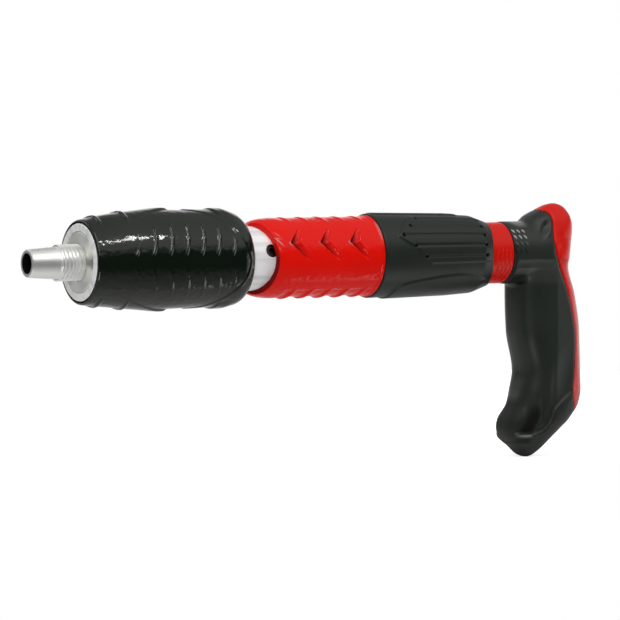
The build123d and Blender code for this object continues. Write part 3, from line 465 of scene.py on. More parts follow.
def front_skin(station, turn):
    """The outside of the front sleeve."""
    nose = 1.0 - (1.0 - np.clip((station - FRONT_EDGE) / (SWELL_AT - FRONT_EDGE), 0.0, 1.0)) ** 1.64
    radius = FRONT_RIM + (FRONT_SWELL - FRONT_RIM) * nose
    radius -= (FRONT_SWELL - WAIST) * ease(station, SWELL_AT, SHOULDER_AT)
    tail = np.clip((station - SHOULDER_AT) / (FRONT_END - SHOULDER_AT), 0.0, 1.0)
    radius -= (WAIST - FRONT_LIP) * (1.0 - (1.0 - tail ** 2.3) ** (1.0 / 2.3))
    upright, steep = np.sin(turn), np.abs(np.sin(turn))
    radius += 0.5 * upright * ease(station, FRONT_EDGE, 44.0) * (1.0 - ease(station, 104.0, FRONT_END))
    inside = depth_inside(station, from_side(turn) * FRONT_SWELL + 0.0 * station, panel_outline)
    radius -= PANEL_DEPTH * ease(inside, -0.5, 0.9) * ease(station, PANEL_START, PANEL_START + 16.0)
    seam = 0.25 * bump(inside, 0.5) * ease(upright, 0.3, -0.3) * ease(station, 66.0, 74.0)
    hump = 0.7 * bump(station - 72.0, 9.0) * ease(steep, 0.90, 0.995) * ease(inside, 0.6, -0.8)
    radius += hump - seam
    across = ease(steep, 0.78, 0.97) * ease(inside, 0.4, -0.8)
    for ridge in RIDGES:
        away = np.abs(station - ridge + RIDGE_LEAN * np.abs(np.cos(turn)) * radius)
        radius += RIDGE_HEIGHT * ease(away, RIDGE_HALF, 0.0) * across
    last_ridge = ease(station, 98.6, 100.4) * ease(station, 110.0, 104.0) * ease(steep, 0.84, 0.95)
    radius += RIDGE_HEIGHT * last_ridge
    return radius - rounded(station - FRONT_EDGE, 1.2, 0.84)


gloss_black = moulding("gloss_black_rubber_skin", (0.0052, 0.0086, 0.0052), (0.0066, 0.0102, 0.0066), 0.08,
                       0.14, 900.0, 0.00001, 0.00024, specular=0.42)
front_sleeve = sleeve(
    "front_sleeve_moulding", FRONT_EDGE, FRONT_END,
    lambda station: np.where(station < SILENCER_END + 0.1, FRONT_RIM - 1.66, FRONT_LIP - 0.5),
    front_skin, 300, 272)
station, side, up = laid_out(front_sleeve)
from_axis = np.hypot(side, up)
height = np.arcsin(up / from_axis) * FRONT_SWELL
rib_outline = np.array(RIB_ZONE + [(at, -half) for at, half in RIB_ZONE[::-1]])
shown = ease(depth_inside(station, height, rib_outline), -0.6, 1.4) * ease(np.abs(height), 1.5, 5.5)
shown *= np.where(height > 0.0, 1.0, 0.3) * (from_axis > FRONT_RIM - 1.0)
mark(front_sleeve, "row_mask", shown)
grow(front_sleeve, ridge_rows, first=RIB_FIRST * MM, pitch=RIB_PITCH * MM, count=RIBS, half_width=1.1 * MM,
     height=0.6 * MM, lean=0.0, curl=RIB_CURL, reach=RIB_REACH * MM, material=gloss_black)
fit(front_sleeve, gloss_black, "front_group", "gloss_black_rubber", "front_sleeve")


# Middle sleeve: a glossy red sleeve moulded in hard rubber and pushed over the body tube. Its front is cut to
# a fish mouth, three arrow marks are sunk in each side, and short slanted fins cross the top and bottom.

MIDDLE_EDGE, MIDDLE_END = about_bore("middle_sleeve")[:2]
MIDDLE_RADIUS = TUBE_RADIUS + 4.0
MOUTH_RADIUS, MOUTH_DEPTH, MOUTH_NOSE = TUBE_RADIUS + 0.6, 6.8, 14.0
ARROW_TURN, ARROW_LEAD, ARROW_PITCH = math.radians(24.0), 14.0, 17.0
ARROW_UPPER, ARROW_LOWER, ARROW_WIDTH, ARROW_DEPTH = (6.3, 7.8), (9.4, 9.4), 5.6, 3.3
# How strong the painted highlight at the tip of each arrow mark is.
TIP_GLINTS = (1.0, 0.3, 0.85)
FIN_LEAD, FIN_PITCH, FINS, FIN_BED = 17.7, 10.25, 5, 0.5


def middle_mouth(turn):
    """The front edge of the middle sleeve, cut back at both sides."""
    return MIDDLE_EDGE + MOUTH_DEPTH * np.clip(np.cos(turn) ** 2, 0.0, 1.0) ** 0.6


def rear_bead(station):
    """Where the bead round the rear end of the middle sleeve stands."""
    return ease(station, MIDDLE_END - 2.2, MIDDLE_END - 1.4)


def fin_panel(station, turn):
    """Where the fins show: a faint band along the top and a full one along the bottom."""
    upright = np.sin(turn)
    band = np.where(upright > 0.0, 0.4 * ease(upright, 0.86, 0.97), ease(-upright, 0.76, 0.83))
    ends = ease(station, MIDDLE_EDGE + 13.0, MIDDLE_EDGE + 16.0)
    return band * ends * ease(station, MIDDLE_END - 3.0, MIDDLE_END - 5.0)


def arrow_marks(station, turn):
    """How deep each point lies in the arrow marks, from 0 to 1, how near it is to their lips, and how strong
    the painted highlight at their tips is.
    """
    height = (from_side(turn) - ARROW_TURN) * MIDDLE_RADIUS + 0.0 * station
    sweep, tall = (np.where(height > 0.0, *sizes) for sizes in zip(ARROW_UPPER, ARROW_LOWER))
    fade = np.clip(1.0 - np.abs(height) / tall, 0.0, 1.0)
    width = ARROW_WIDTH * (0.45 + 0.55 * fade)
    deep = lip = tip = 0.0
    for number, glint in enumerate(TIP_GLINTS):
        point = MIDDLE_EDGE + ARROW_LEAD + ARROW_PITCH * number
        behind = station - point - sweep / tall * np.abs(height)
        deep = deep + ease(behind, -0.2, 0.4) * np.clip(1.0 - behind / width, 0.0, 1.0) * fade ** 0.7
        lip = lip + bump(behind - width, 0.6) * ease(fade, 0.0, 0.6)
        tip = tip + glint * bump(behind + 0.4, 0.6) * bump(height + 0.5, 0.9)
    return deep, lip, tip


def middle_skin(station, turn):
    """The outside of the middle sleeve."""
    nose = 1.0 - np.clip((station - MIDDLE_EDGE) / MOUTH_NOSE, 0.0, 1.0)
    radius = MOUTH_RADIUS + (MIDDLE_RADIUS - MOUTH_RADIUS) * (1.0 - nose ** 2.2) ** (1.0 / 2.2)
    deep, lip, tip = arrow_marks(station, turn)
    radius += 0.25 * lip - ARROW_DEPTH * deep
    radius += 0.45 * rear_bead(station) - FIN_BED * fin_panel(station, turn)
    radius -= rounded(station - middle_mouth(turn), 0.7, 0.5)
    return radius - rounded(MIDDLE_END - station, 0.6, 0.6)


gloss_red = moulding("gloss_red_rubber_skin", (0.78, 0.007, 0.004), (0.86, 0.010, 0.005), 0.10, 0.18, 900.0,
                     0.00001, 0.00030, specular=0.14)
middle_sleeve = sleeve("middle_sleeve_moulding", middle_mouth, MIDDLE_END, TUBE_RADIUS + 0.03, middle_skin,
                       264, 300)
station, side, up = laid_out(middle_sleeve)
turn = np.arctan2(up, side)
outside = np.hypot(side, up) > TUBE_RADIUS + 0.4
mark(middle_sleeve, "row_mask", fin_panel(station, turn) * outside)
deep, lip, tip = arrow_marks(station, turn)
from_mouth, lifted = station - middle_mouth(turn), from_side(turn)
# Painted shade: the arrow marks darken with their depth, and the lower half of the mouth's cut face is
# painted dark.
mouth_wall_shade = ease(from_mouth, 0.45, 0.05) * ease(np.sin(turn), 0.45, -0.05)
mark(middle_sleeve, "painted_shade", np.maximum(0.85 * ease(deep, 0.05, 0.75) * outside, 0.9 * mouth_wall_shade))
# Painted highlights: pale, shiny glints at the arrow tips, in short broken lines along the upper mouth lip
# and along the rear bead.
lip_glints = np.sin(24.0 * lifted + 1.7 * from_mouth).clip(0.0, 1.0) ** 6
lip_glints *= ease(from_mouth, 0.3, 0.9) * ease(from_mouth, 3.8, 2.4)
lip_glints *= ease(lifted, 0.2, 0.32) * ease(lifted, 0.78, 0.6)
rear_lip_highlight = 0.3 * rear_bead(station) * ease(lifted, 0.3, 0.7) * ease(lifted, 1.1, 0.8)
mark(middle_sleeve, "worn", np.maximum.reduce((tip, 0.9 * lip_glints, rear_lip_highlight)) * outside)
grow(middle_sleeve, ridge_rows, first=(MIDDLE_EDGE + FIN_LEAD) * MM, pitch=FIN_PITCH * MM, count=FINS,
     half_width=2.2 * MM, height=1.0 * MM, lean=0.15, curl=0.0, reach=0.0, material=gloss_red)
fit(middle_sleeve, gloss_red, "body", "red_rubber", "middle_sleeve")


# Rear sleeve: a satin black rubber sleeve pushed on behind the red one. A raised arrow-headed zone with five
# flutes covers each side, a pad is raised underneath, a spine runs along the top and its rear is bevelled.

REAR_EDGE, REAR_END = about_bore("rear_sleeve")[:2]
REAR_RADIUS, TUBE_END = TUBE_RADIUS + 5.2, about_bore("body_tube")[1]
REAR_STATIONS = [REAR_EDGE, REAR_EDGE + 45.0, REAR_END - 10.0, REAR_END - 9.0, REAR_END]
REAR_RADII = [REAR_RADIUS, REAR_RADIUS - 1.0, REAR_RADIUS - 1.9, REAR_RADIUS - 2.15, TUBE_RADIUS]
ZONE_OUTLINE = np.array([
    (REAR_EDGE + 8.0, 10.6), (REAR_EDGE + 18.0, 4.0), (REAR_EDGE + 27.0, -4.0), (REAR_END - 5.0, -4.0),
    (REAR_END - 5.0, 25.5), (REAR_EDGE + 19.0, 25.5)])
ZONE_HEIGHT, PAD_HEIGHT, SPINE_HEIGHT, SPINE_HALF = 0.45, 0.8, 0.5, 3.5
PAD_START = 9.0
PAD_LINE = [(9.0, -17.5), (12.5, -14.0), (20.0, -12.2), (46.0, -9.4), (62.0, -12.0), (72.0, -15.5)]
FLUTES, FLUTE_TURN, FLUTE_STEP = 5, math.radians(-0.3), math.radians(15.7)
FLUTE_LEAD, FLUTE_STAGGER, FLUTE_BACK = 12.0, 6.0, 8.8
FLUTE_HALF, FLUTE_DEPTH, PIT_HALF, PIT_DEPTH = 0.85, 0.4, 1.3, 1.3
RIM_BACK, SCALLOP = 1.2, 3.0


def rear_rim(turn):
    """The rear edge of the rear sleeve, scalloped at both sides."""
    return REAR_END - RIM_BACK - SCALLOP * np.clip(np.cos(turn) ** 2 * 1.4 - 0.4, 0.0, 1.0)


def flute_cuts(station, turn):
    """How deep the flutes and the pits at their ends are cut, in millimetres."""
    cut, end = 0.0, REAR_END - FLUTE_BACK
    for number in range(FLUTES):
        front = REAR_EDGE + FLUTE_LEAD + FLUTE_STAGGER * abs(number - FLUTES // 2)
        sideways = (from_side(turn) - FLUTE_TURN - FLUTE_STEP * number) * REAR_RADIUS
        out = np.hypot(np.maximum(front - station, station - end).clip(0.0), sideways)
        cut = cut + FLUTE_DEPTH * ease(out, FLUTE_HALF, FLUTE_HALF * 0.3)
        for pit in (front, end):
            cut = cut + PIT_DEPTH * ease(np.hypot(station - pit, sideways), PIT_HALF, 0.5)
    return cut


def rear_skin(station, turn):
    """The outside of the rear sleeve."""
    radius = np.interp(station, REAR_STATIONS, REAR_RADII) + 0.0 * turn
    height = from_side(turn) * REAR_RADIUS + 0.0 * station
    radius += ZONE_HEIGHT * ease(depth_inside(station, height, ZONE_OUTLINE), -0.3, 0.9)
    radius -= flute_cuts(station, turn)
    under = line_through(PAD_LINE, station - REAR_EDGE) - radius * np.sin(turn)
    radius += PAD_HEIGHT * ease(np.minimum(under, station - REAR_EDGE - PAD_START), -0.4, 0.8)
    spine = ease(SPINE_HALF - np.abs(np.cos(turn)) * radius, -0.5, 0.6) * (np.sin(turn) > 0.0)
    spine *= ease(station, REAR_EDGE + 1.0, REAR_EDGE + 3.0) * ease(station, REAR_END - 16.5, REAR_END - 19.0)
    radius += SPINE_HEIGHT * spine - rounded(station - REAR_EDGE, 0.7, 0.7)
    return np.maximum(radius, TUBE_RADIUS - 0.5)


satin_black = moulding("satin_black_rubber_skin", (0.0115, 0.0170, 0.0130), (0.0150, 0.0205, 0.0165), 0.34,
                       0.44, 1500.0, 0.00004, 0.00004, specular=0.28)
rear_sleeve = sleeve(
    "rear_sleeve_moulding", REAR_EDGE, rear_rim,
    lambda station: np.where(station < TUBE_END + 0.2, TUBE_RADIUS + 0.03, TUBE_RADIUS - 3.0),
    rear_skin, 286, 280)
station, side, up = laid_out(rear_sleeve)
outside = np.hypot(side, up) > TUBE_RADIUS + 0.4
# Painted shade: the flutes and the pits at their ends are darkened and made matt with their depth.
mark(rear_sleeve, "painted_shade", ease(flute_cuts(station, np.arctan2(up, side)), 0.3, 1.2) * outside)
fit(rear_sleeve, satin_black, "body", "satin_black_rubber", "rear_sleeve")


# Handle core: one red plastic moulding. Its grooved collar is pinned to the rear plug, its tang runs down
# inside the grip, and its back comes out as a strap and a thumb hump behind the grip.

HANDLE_FRONT, GRIP_FRONT = about_bore("handle_core")[0], about_bore("handle_grip")[0]
NECK_RADIUS, COLLAR_RADIUS = TUBE_RADIUS - 0.1, TUBE_RADIUS - 0.4
NECK_STRAIGHT, NECK_ROUND, NECK_END = 22.0, 14.0, 34.0
GRIP_WALL, FREE = 5.5, 0.05
STUD_RADIUS, STUD_END = 8.0, about_bore("rear_plug")[1] - GRIP_FRONT
TAIL_RADIUS, TAIL_END = 9.6, 9.0
pin_low, pin_high = (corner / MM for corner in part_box("handle_pin"))
PIN_PLACE, PIN_RADIUS = -(pin_low.x + pin_high.x) / 2 - GRIP_FRONT, (pin_high.x - pin_low.x) / 2
CHEEK_FOOT, CHEEK_TOP, CHEEK_HALF = -20.0, -3.2, 13.3
CHEEK_SWELL = math.sqrt(NECK_RADIUS ** 2 - CHEEK_TOP ** 2) - CHEEK_HALF
FACET_BACK, FACET_SLOPE = 27.6, 0.14
HEEL_DEPTH, CUP_DEPTH = 1.1, 2.6
THUMB_BACK, THUMB_UP, THUMB_DEPTH, THUMB_LIP = 21.0, 12.5, 1.3, 0.4
NOTCH_BACK, NOTCH_UP, NOTCH_DEPTH = 7.0, -13.6, 1.5
BEAD_GROOVE, BEAD_DEPTH = 1.5, 0.45
HANDLE_SECTIONS = np.array([
    (-104.9, 15.4, 17.4, 1.0), (-103.6, 13.2, 18.6, 5.6), (-100.0, 9.6, 23.0, 9.6), (-94.0, 2.9, 30.0, 12.6),
    (-90.0, 2.2, 34.7, 13.7), (-86.0, 2.9, 39.2, 14.6), (-77.5, 7.6, 45.3, 15.0), (-70.0, 10.5, 46.9, 14.5),
    (-61.0, 12.2, 46.7, 14.0), (-40.0, 8.1, 46.3, 13.6), (-22.0, 7.3, 43.5, 13.3), (-6.0, 7.9, 38.9, 13.3),
    (9.0, 11.4, 41.6, 12.6), (14.0, 14.0, 42.1, 11.4), (17.5, 16.4, 41.5, 10.0), (22.0, 24.6, 39.0, 6.4),
    (24.0, 28.6, 36.6, 3.4), (24.8, 31.8, 34.2, 0.9)])
STRAP_LINE = [
    (-110.0, 60.0), (-90.0, 48.0), (-83.0, 40.2), (-75.0, 37.6), (-62.0, 39.3), (-44.0, 39.8), (-31.5, 38.0),
    (-22.2, 35.5), (-13.0, 31.8), (-6.8, 28.7), (-0.7, 26.0), (5.5, 25.1), (11.6, 25.8), (15.5, 26.4),
    (18.5, 26.2), (21.0, 24.2), (23.5, 19.5), (28.0, 12.0)]
HEEL_LINE = [(-6.0, -93.4), (1.2, -93.2), (11.9, -93.0), (16.7, -91.7), (19.6, -90.3), (23.2, -85.8),
             (25.6, -79.8), (36.2, -71.5), (54.0, -64.0)]
HANDLE_LOW, HANDLE_HIGH, GRID = np.array((-2.0, -18.0, -108.0)), np.array((51.0, 18.0, 28.0)), 0.7
PASSES, NUDGE = 7, 0.05


def melt(one, other, reach):
    """The nearer of two solids' fields, with the corner between them filled over a reach."""
    share = np.clip(1.0 - np.abs(one - other) / reach, 0.0, 1.0)
    return np.minimum(one, other) - reach * share * share / 4.0


def cheek(up):
    """How far the neck's tapered cheeks stand out to the side, below the crease where its round ends."""
    return CHEEK_HALF + CHEEK_SWELL * (np.maximum(up - CHEEK_FOOT, 0.0) / (CHEEK_TOP - CHEEK_FOOT)) ** 4


def plain_form(behind, side, up):
    """The handle without its hollows as a field, in millimetres, negative inside."""
    front, rear, half = (line_through(HANDLE_SECTIONS[:, [0, column]], up) for column in (1, 2, 3))
    half = half + np.minimum(cheek(up) - CHEEK_HALF, CHEEK_SWELL) * ease(up, 9.0, CHEEK_TOP)
    middle, reach = (front + rear) / 2.0, (rear - front) / 2.0
    lengthways = (np.abs(behind - middle) / reach) ** np.where(behind < middle, 3.2, 2.8)
    out = lengthways + (np.abs(side) / half) ** 2.5
    form = (out ** (1.0 / 2.65) - 1.0) * np.sqrt(reach * half)
    slope = FACET_SLOPE * ease(up, -4.0, -16.0) * ease(up, -80.0, -72.0)
    form = np.maximum(form, np.abs(side) - half + slope * (behind - FACET_BACK))
    form = np.maximum(form, np.maximum(up - HANDLE_SECTIONS[-1, 0], HANDLE_SECTIONS[0, 0] - up))
    dome = np.sqrt(np.clip(1.0 - (np.maximum(behind - NECK_STRAIGHT, 0.0) / NECK_ROUND) ** 2, 0.02, 1.0))
    neck = np.maximum(np.hypot(side, up) - NECK_RADIUS * dome, np.abs(behind - NECK_END / 2) - NECK_END / 2)
    neck = np.maximum(neck, np.abs(side) - cheek(up) - 3.0 * ease(behind, 2.8, 1.8))
    return melt(form, neck, 0.8 + 1.8 * ease(np.abs(up - CHEEK_TOP), 4.0, 9.0))


def above_heel(behind, up):
    """How far a point lies above the ledge over the heel."""
    return (up - line_through(HEEL_LINE, behind)) / 1.15


def cup_share(behind, up):
    """How deep a point lies in the cup over the toe, from 0 to 1: a slope that ends at a crisp rear wall."""
    along = behind + 3.6 * ease(up, -82.0, -93.0)
    slope_and_wall = ease(along, 5.5, 15.5) * ease(along, 18.6, 16.8)
    return slope_and_wall * ease(up, -70.0, -86.0) * ease(above_heel(behind, up), 0.0, 1.6)


def bead_groove(behind, up, half, floor):
    """Where the groove behind the neck's bead runs, by the half widths of its mouth and its floor."""
    return ease(np.abs(behind - BEAD_GROOVE), half, floor) * ease(up, 8.0, 2.0) * ease(up, -24.0, -20.0)


def hollows(behind, side, up):
    """How deep the handle is drawn in: the heel, the cup over the toe, the thumb groove, the notch under the
    neck and the groove behind the neck's bead."""
    above = above_heel(behind, up)
    heel = ease(above, -0.6, 0.9) * ease(above, 24.0, 4.0)
    heel = heel * ease(behind, 46.0, 30.0) * ease(behind, 2.0, 10.0)
    back, high = behind - THUMB_BACK, up - THUMB_UP
    along, off = back * 0.62 + high * 0.78, back * 0.78 - high * 0.62
    thumb = THUMB_DEPTH * bump(along, 4.4) * bump(off, 1.4)
    thumb = thumb - THUMB_LIP * bump(along, 3.6) * bump(off - 2.8, 1.0)
    notch = ease(np.abs(behind - NOTCH_BACK), 4.4, 3.0) * ease(np.abs(up - NOTCH_UP), 2.6, 1.2)
    on_flank = HEEL_DEPTH * heel + CUP_DEPTH * cup_share(behind, up) + thumb + NOTCH_DEPTH * notch
    return ease(np.abs(side), 3.0, 8.0) * on_flank + BEAD_DEPTH * bead_groove(behind, up, 1.0, 0.2)


def handle_form(behind, side, up):
    """The whole outside of the handle."""
    return plain_form(behind, side, up) + hollows(behind, side, up)


def behind_strap(behind, up):
    """How far a point lies behind the line where the grip meets the red strap."""
    return (behind - line_through(STRAP_LINE, up)) / 1.1


def pin_hole(behind, side, up):
    """The hole for the cross pin, negative inside it."""
    return np.maximum(np.hypot(behind - PIN_PLACE, side) - PIN_RADIUS - FREE, np.abs(up) - pin_high.z - 0.1)


def core_field(behind, side, up):
    """The red core: what lies well inside the grip's skin, and everything behind the strap line. The rear
    plug's stud and the cross pin have their holes in it."""
    strap = -melt(-handle_form(behind, side, up), behind_strap(behind, up) - 0.1, 1.0)
    solid = melt(strap, plain_form(behind, side, up) + GRIP_WALL + FREE, 1.6)
    stud = np.maximum(np.hypot(side, up) - STUD_RADIUS - FREE, behind - STUD_END - 0.1)
    return np.maximum(solid, -np.minimum(stud, pin_hole(behind, side, up)))


def grip_field(behind, side, up):
    """The black grip: a wall over the core, ending at the strap line, open in front for the collar's tail."""
    outer = -melt(-handle_form(behind, side, up), -behind_strap(behind, up) - 0.1, 1.2)
    outer = -melt(-outer, behind - 0.2, 1.2)
    tail = np.maximum(np.hypot(side, up) - TAIL_RADIUS - FREE, behind - TAIL_END)
    holes = np.minimum(tail, pin_hole(behind, side, up))
    return -melt(-outer, np.minimum(holes, plain_form(behind, side, up) + GRIP_WALL), 1.6)


def skin_of(name, field):
    """A closed piece from a field that is negative inside it, drawn on a grid and settled on its skin."""
    lines = [np.arange(start, end + GRID, GRID) for start, end in zip(HANDLE_LOW, HANDLE_HIGH)]
    value = field(lines[0][:, None, None], lines[1][None, :, None], lines[2][None, None, :])
    cells = np.array(value.shape) - 1
    total, count = np.zeros((*cells, 3)), np.zeros(cells)
    for corner in np.ndindex(2, 2, 2):
        for axis in range(3):
            if corner[axis]:
                continue
            other = np.array(corner) + np.eye(3, dtype=int)[axis]
            start, end = (value[tuple(slice(c, c + n) for c, n in zip(at, cells))] for at in (corner, other))
            crossed = (start < 0.0) != (end < 0.0)
            share = np.where(crossed, start / np.where(crossed, start - end, 1.0), 0.0)
            total += crossed[..., None] * np.array(corner)
            total[..., axis] += share
            count += crossed
    used = count > 0
    number = np.full(cells, -1)
    number[used] = np.arange(used.sum())
    points = HANDLE_LOW + GRID * (np.argwhere(used) + total[used] / count[used][:, None])
    faces = []
    for axis in range(3):
        left, right = np.eye(3, dtype=int)[[(axis + 1) % 3, (axis + 2) % 3]]
        inside = np.moveaxis(value < 0.0, axis, 0)
        at = np.argwhere(np.moveaxis(inside[1:] != inside[:-1], 0, axis))
        around = [number[tuple((at - shift).T)] for shift in (left + right, right, 0 * left, left)]
        quads = np.stack(around, axis=1)
        leaving = value[tuple(at.T)] < 0.0
        faces += [quads[leaving], quads[~leaving][:, ::-1]]
    faces = np.vstack(faces)
    for turn in range(PASSES):
        if 0 < turn < PASSES - 1:
            middle = points[faces].mean(axis=1)
            mean, uses = np.zeros_like(points), np.zeros(len(points))
            for corner in range(4):
                np.add.at(mean, faces[:, corner], middle)
                np.add.at(uses, faces[:, corner], 1.0)
            points = points * 0.4 + mean / uses[:, None] * 0.6
        slope = np.stack([(field(*(points + nudge).T) - field(*(points - nudge).T)) / (2.0 * NUDGE)
                          for nudge in np.eye(3) * NUDGE], axis=1)
        move = slope * (field(*points.T) / np.maximum((slope ** 2).sum(axis=1), 0.2))[:, None]
        points = points - np.clip(move, -0.5 * GRID, 0.5 * GRID)
    points = np.stack((-(points[:, 0] + GRIP_FRONT), points[:, 1], points[:, 2]), axis=1)
    return skinned(name, points, faces[:, ::-1], 60.0)


def collar_skin(station, turn):
    """The outside of the collar, stepped down where it goes under the grip."""
    radius = np.where(station < GRIP_FRONT, COLLAR_RADIUS, TAIL_RADIUS) + 0.0 * turn
    return radius - rounded(station - HANDLE_FRONT, 0.6, 0.6)


red_moulding = moulding("red_handle_plastic", (0.62, 0.008, 0.004), (0.70, 0.011, 0.006), 0.24, 0.34, 1300.0,
                        0.00003, 0.00004, specular=0.16)
collar = sleeve("handle_collar", HANDLE_FRONT, GRIP_FRONT + TAIL_END, STUD_RADIUS + FREE, collar_skin,
                140, 128)
station, side, up = laid_out(collar)
outside = np.hypot(side, up) > COLLAR_RADIUS - 0.2
mark(collar, "row_mask", ease(up, 6.0, -2.0).clip(0.15, 1.0) * outside)
grow(collar, ridge_rows, first=(HANDLE_FRONT + 4.2) * MM, pitch=2.4 * MM, count=4, half_width=0.5 * MM,
     height=-0.4 * MM, lean=0.0, curl=0.0, reach=0.0, material=red_moulding)
handle_core = skin_of("handle_core_moulding", core_field)
both = bmesh.new()
both.from_mesh(handle_core.data)
both.from_mesh(collar.data)
both.to_mesh(handle_core.data)
both.free()
bpy.data.objects.remove(collar)
# A painted sheen: the core is painted paler and shinier from below the neck downward.
mark(handle_core, "worn", 0.2 * ease(laid_out(handle_core)[2], -12.0, -40.0))
fit(handle_core, red_moulding, "body", "red_moulding", "handle_core")


# Handle grip: black rubber moulded over the core in one shot, with a cupped heel, a thumb groove and
# four rows of short raised bars on each side of the neck.

black_grip = moulding("black_grip_rubber", (0.0125, 0.0180, 0.0130), (0.0160, 0.0215, 0.0165), 0.36, 0.46,
                      1500.0, 0.00004, 0.00004, specular=0.36)
handle_grip = skin_of("handle_grip_moulding", grip_field)
station, side, up = laid_out(handle_grip)
behind = station - GRIP_FRONT
above = above_heel(behind, up)
# Painted shade, dark and matt: the cup over the toe, the notch under the neck, the groove behind the bead, a
# band under the heel ledge, the heel line and the front of the toe.
cup = ease(cup_share(behind, up), 0.05, 0.9)
notch = 0.7 * ease(np.abs(behind - NOTCH_BACK - 0.6), 4.0, 2.6) * ease(np.abs(up - NOTCH_UP), 2.6, 1.4)
groove = 0.8 * bead_groove(behind, up, 0.9, 0.3)
under_ledge = 0.6 * ease(np.abs(above + 2.6), 1.8, 0.4) * ease(np.abs(behind - 9.0), 5.0, 2.0)
heel_line = 0.6 * bump(above - 0.9, 0.7) * ease(behind, 13.0, 16.0)
toe = 0.5 * ease(up, -72.0, -78.0) * ease(up, -93.0, -87.0) * ease(behind, 13.0, 8.0)
mark(handle_grip, "painted_shade", np.maximum.reduce((cup, notch, groove, under_ledge, heel_line, toe)))
# Painted highlights, pale and shiny: the fillet between neck and hump, the heel ledge and a faint one on the
# cheek.
fillet_highlight = 0.35 * ease(np.hypot((behind - 8.6) / 6.0, (up - 15.5) / 3.0), 1.0, 0.2)
ledge = 0.4 * bump(above + 0.3, 0.5) * ease(behind, 4.0, 9.5) * ease(behind, 13.8, 11.4)
cheek_highlight = 0.035 * ease(up, -5.0, -8.0) * ease(up, -17.0, -13.5) * ease(behind, 8.0, 12.0)
mark(handle_grip, "worn", np.maximum.reduce((fillet_highlight, ledge, cheek_highlight)))

# Bars on the neck: short leaning pips in even rows round both sides of the bore, moulded with the grip.
# The upper two rows carry a painted highlight, the row below them a faint one.
neck_bars, given, add, step = new_tree(
    "neck_bars", "GeometryNodeTree",
    ["Geometry", "Columns", "Rows", "First", "Pitch", "First Turn", "Turn Pitch", "Radius", "Width", "Height",
     "Length", "Lean", "Material"], ["Geometry"])
each_side = step("MULTIPLY", given["Columns"], given["Rows"])
number = add("GeometryNodeInputIndex")
on_right = step("FLOOR", step("DIVIDE", number, each_side))
on_side = step("MULTIPLY_ADD", on_right, -2.0, 1.0)
in_side = step("MODULO", number, each_side)
column = step("MODULO", in_side, given["Columns"])
row = step("FLOOR", step("DIVIDE", in_side, given["Columns"]))
station = step("MULTIPLY_ADD", column, given["Pitch"], given["First"])
lifted = step("MULTIPLY_ADD", row, given["Turn Pitch"], given["First Turn"])
turn = step("MULTIPLY_ADD", step("SUBTRACT", lifted, math.pi / 2), on_side, math.pi / 2)
sideways = step("MULTIPLY", step("COSINE", turn), given["Radius"])
upward = step("MULTIPLY", step("SINE", turn), given["Radius"])
spot = add("ShaderNodeCombineXYZ", {"X": step("MULTIPLY", station, -1.0), "Y": sideways, "Z": upward})
spots = add("GeometryNodePoints", {"Count": step("MULTIPLY", each_side, 2.0), "Position": spot})
# Painted highlight: each pip stores a pale, shiny mark that rises with its row.
rubbed_and_highlit = add("GeometryNodeStoreNamedAttribute", {
    "Geometry": spots, "Name": "worn", "Value": ramp(neck_bars, row, 0.8, 2.0)}, domain="POINT")
about = add("FunctionNodeEulerToRotation", {0: add("ShaderNodeCombineXYZ", {"X": turn})})
tilt = add("ShaderNodeCombineXYZ", {"Y": step("MULTIPLY", given["Lean"], on_side)})
leaning = add("FunctionNodeRotateRotation", {0: about, 1: add("FunctionNodeEulerToRotation", {0: tilt})},
              rotation_space="LOCAL")
ball = add("GeometryNodeMeshUVSphere", {"Segments": 14, "Rings": 10, "Radius": 0.5})
smooth = add("GeometryNodeSetShadeSmooth", {"Geometry": ball})
extent = add("ShaderNodeCombineXYZ", {"X": given["Width"], "Y": given["Height"], "Z": given["Length"]})
placed = add("GeometryNodeInstanceOnPoints", {
    "Points": rubbed_and_highlit, "Instance": smooth, "Rotation": leaning, "Scale": extent})
joined = add("GeometryNodeJoinGeometry", {0: placed})
set_inputs(joined, {0: given["Geometry"]})
hand_over(neck_bars, joined, given["Material"])
grow(handle_grip, neck_bars, columns=3.0, rows=4.0, first=(GRIP_FRONT + 1.8) * MM, pitch=3.0 * MM,
     first_turn=math.radians(6.0), turn_pitch=math.radians(12.8), radius=NECK_RADIUS * MM, width=0.95 * MM,
     height=1.2 * MM, length=2.6 * MM, lean=math.radians(32.0), material=black_grip)
fit(handle_grip, black_grip, "body", "black_grip", "handle_grip")


# Stage: a pale sheet as floor under the handle's foot, and a white studio with a dome overhead, a backdrop on
# the far side that runs on in two bands ahead of the tool, a wall behind the handle and a glow from below.
# A soft box and a tall strip light it from the upper left, a broad card and a small one from the lower left.

WHITE = (1.0, 1.0, 1.0, 1.0)
FLOOR_Z = cad_box[0].z
floor_mesh = bpy.data.meshes.new("floor")
corners = [(x, y, FLOOR_Z) for x, y in ((-0.7, -0.6), (0.4, -0.6), (0.4, 0.05), (-0.7, 0.05))]
floor_mesh.from_pydata(corners, [], [(0, 1, 2, 3)])
floor = set_out("floor", floor_mesh)
pale, tree, sheet = new_material("pale_sheet")
seen = wire(tree, "ShaderNodeLightPath").outputs["Is Camera Ray"]
set_inputs(sheet, {
    "Base Color": (0.78, 0.78, 0.78, 1.0), "Roughness": 0.9, "Emission Color": WHITE,
    "Emission Strength": reckon(tree, "MULTIPLY", seen, 0.7)})
floor_mesh.materials.append(pale)

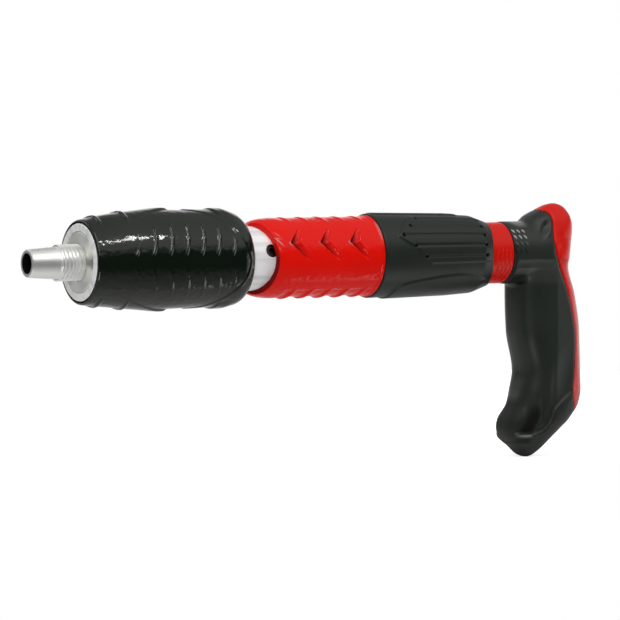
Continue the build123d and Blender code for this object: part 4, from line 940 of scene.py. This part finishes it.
studio = bpy.data.worlds.new("studio")
bpy.context.scene.world = studio
studio.use_nodes = True
sky = studio.node_tree
sky.nodes.clear()
add, step, fade = partial(wire, sky), partial(reckon, sky), partial(ramp, sky, kind="SMOOTHSTEP")
way = add("ShaderNodeSeparateXYZ", {0: add("ShaderNodeTexCoord").outputs["Generated"]}).outputs
dome = step("MULTIPLY", fade(way["Z"], 0.25, 0.55), ramp(sky, way["Y"], -0.6, 0.55, low=0.25))
far_side, ahead = fade(way["Y"], -0.2, -0.7), fade(way["X"], -0.05, 0.2)
behind_tool = step("MULTIPLY", far_side, step("SUBTRACT", 1.0, ahead))
backdrop = step("MULTIPLY", behind_tool, fade(way["Z"], 0.6, 0.3))
off_level = fade(step("ABSOLUTE", way["Z"]), 0.08, 0.26)
front_bands = step("MULTIPLY", step("MULTIPLY", far_side, ahead), off_level)
below = ramp(sky, way["Z"], -0.28, -0.9, high=0.55)
handle_wall = step("MULTIPLY", fade(way["X"], -0.72, -0.88, high=1.7), fade(way["Z"], 0.22, 0.08))
brightest = dome
for lit in (backdrop, below, handle_wall, front_bands):
    brightest = step("MAXIMUM", brightest, lit)
lamp = add("ShaderNodeBackground", {"Color": WHITE, "Strength": brightest})
plain = add("ShaderNodeBackground", {"Color": WHITE, "Strength": 1.0})
seen = add("ShaderNodeLightPath").outputs["Is Camera Ray"]
add("ShaderNodeOutputWorld", {"Surface": add("ShaderNodeMixShader", {0: seen, 1: lamp, 2: plain})})


def hang(name, data, aim, towards, away):
    """Sets a lamp or a camera out at a distance from a point, facing it."""
    stand = set_out(name, data)
    stand.location = aim + away * towards
    stand.rotation_euler = towards.to_track_quat("Z", "Y").to_euler()
    return stand


for name, aim, towards, away, wide, tall, watts in (
        ("soft_box", (-0.058, 0.0, 0.0), (-0.28, 0.57, 0.77), 1.2, 0.30, 0.03, 2.0),
        ("low_card", (-0.18, 0.0, 0.0), (0.45, 0.70, -0.55), 1.5, 0.5, 0.5, 4.4),
        ("under_card", (-0.26, 0.0, 0.0), (-0.50, 0.42, -0.76), 0.5, 0.12, 0.30, 0.25),
        ("key_strip", (-0.09, 0.0, 0.0), (0.40, 0.55, 0.73), 1.5, 0.16, 1.7, 6.8)):
    light = bpy.data.lights.new(name, "AREA")
    light.shape = "RECTANGLE"
    light.size, light.size_y, light.energy = wide, tall, watts
    hang(name, light, Vector(aim), Vector(towards).normalized(), away)


# Camera: a long lens a little above the tool, in front of it and on its left.

LOOK_AT = Vector((-0.158, 0.0, -0.0264))
AZIMUTH, ELEVATION, DISTANCE = math.radians(149.7), math.radians(2.9), 2.4
level = math.cos(ELEVATION)
towards_camera = Vector((math.sin(AZIMUTH) * level, -math.cos(AZIMUTH) * level, math.sin(ELEVATION)))
lens = bpy.data.cameras.new("camera")
lens.sensor_width, lens.lens, lens.clip_end = 36.0, 279.6, 50.0
bpy.context.scene.camera = hang("camera", lens, LOOK_AT, towards_camera, DISTANCE)
bpy.context.scene.view_settings.view_transform = "Standard"
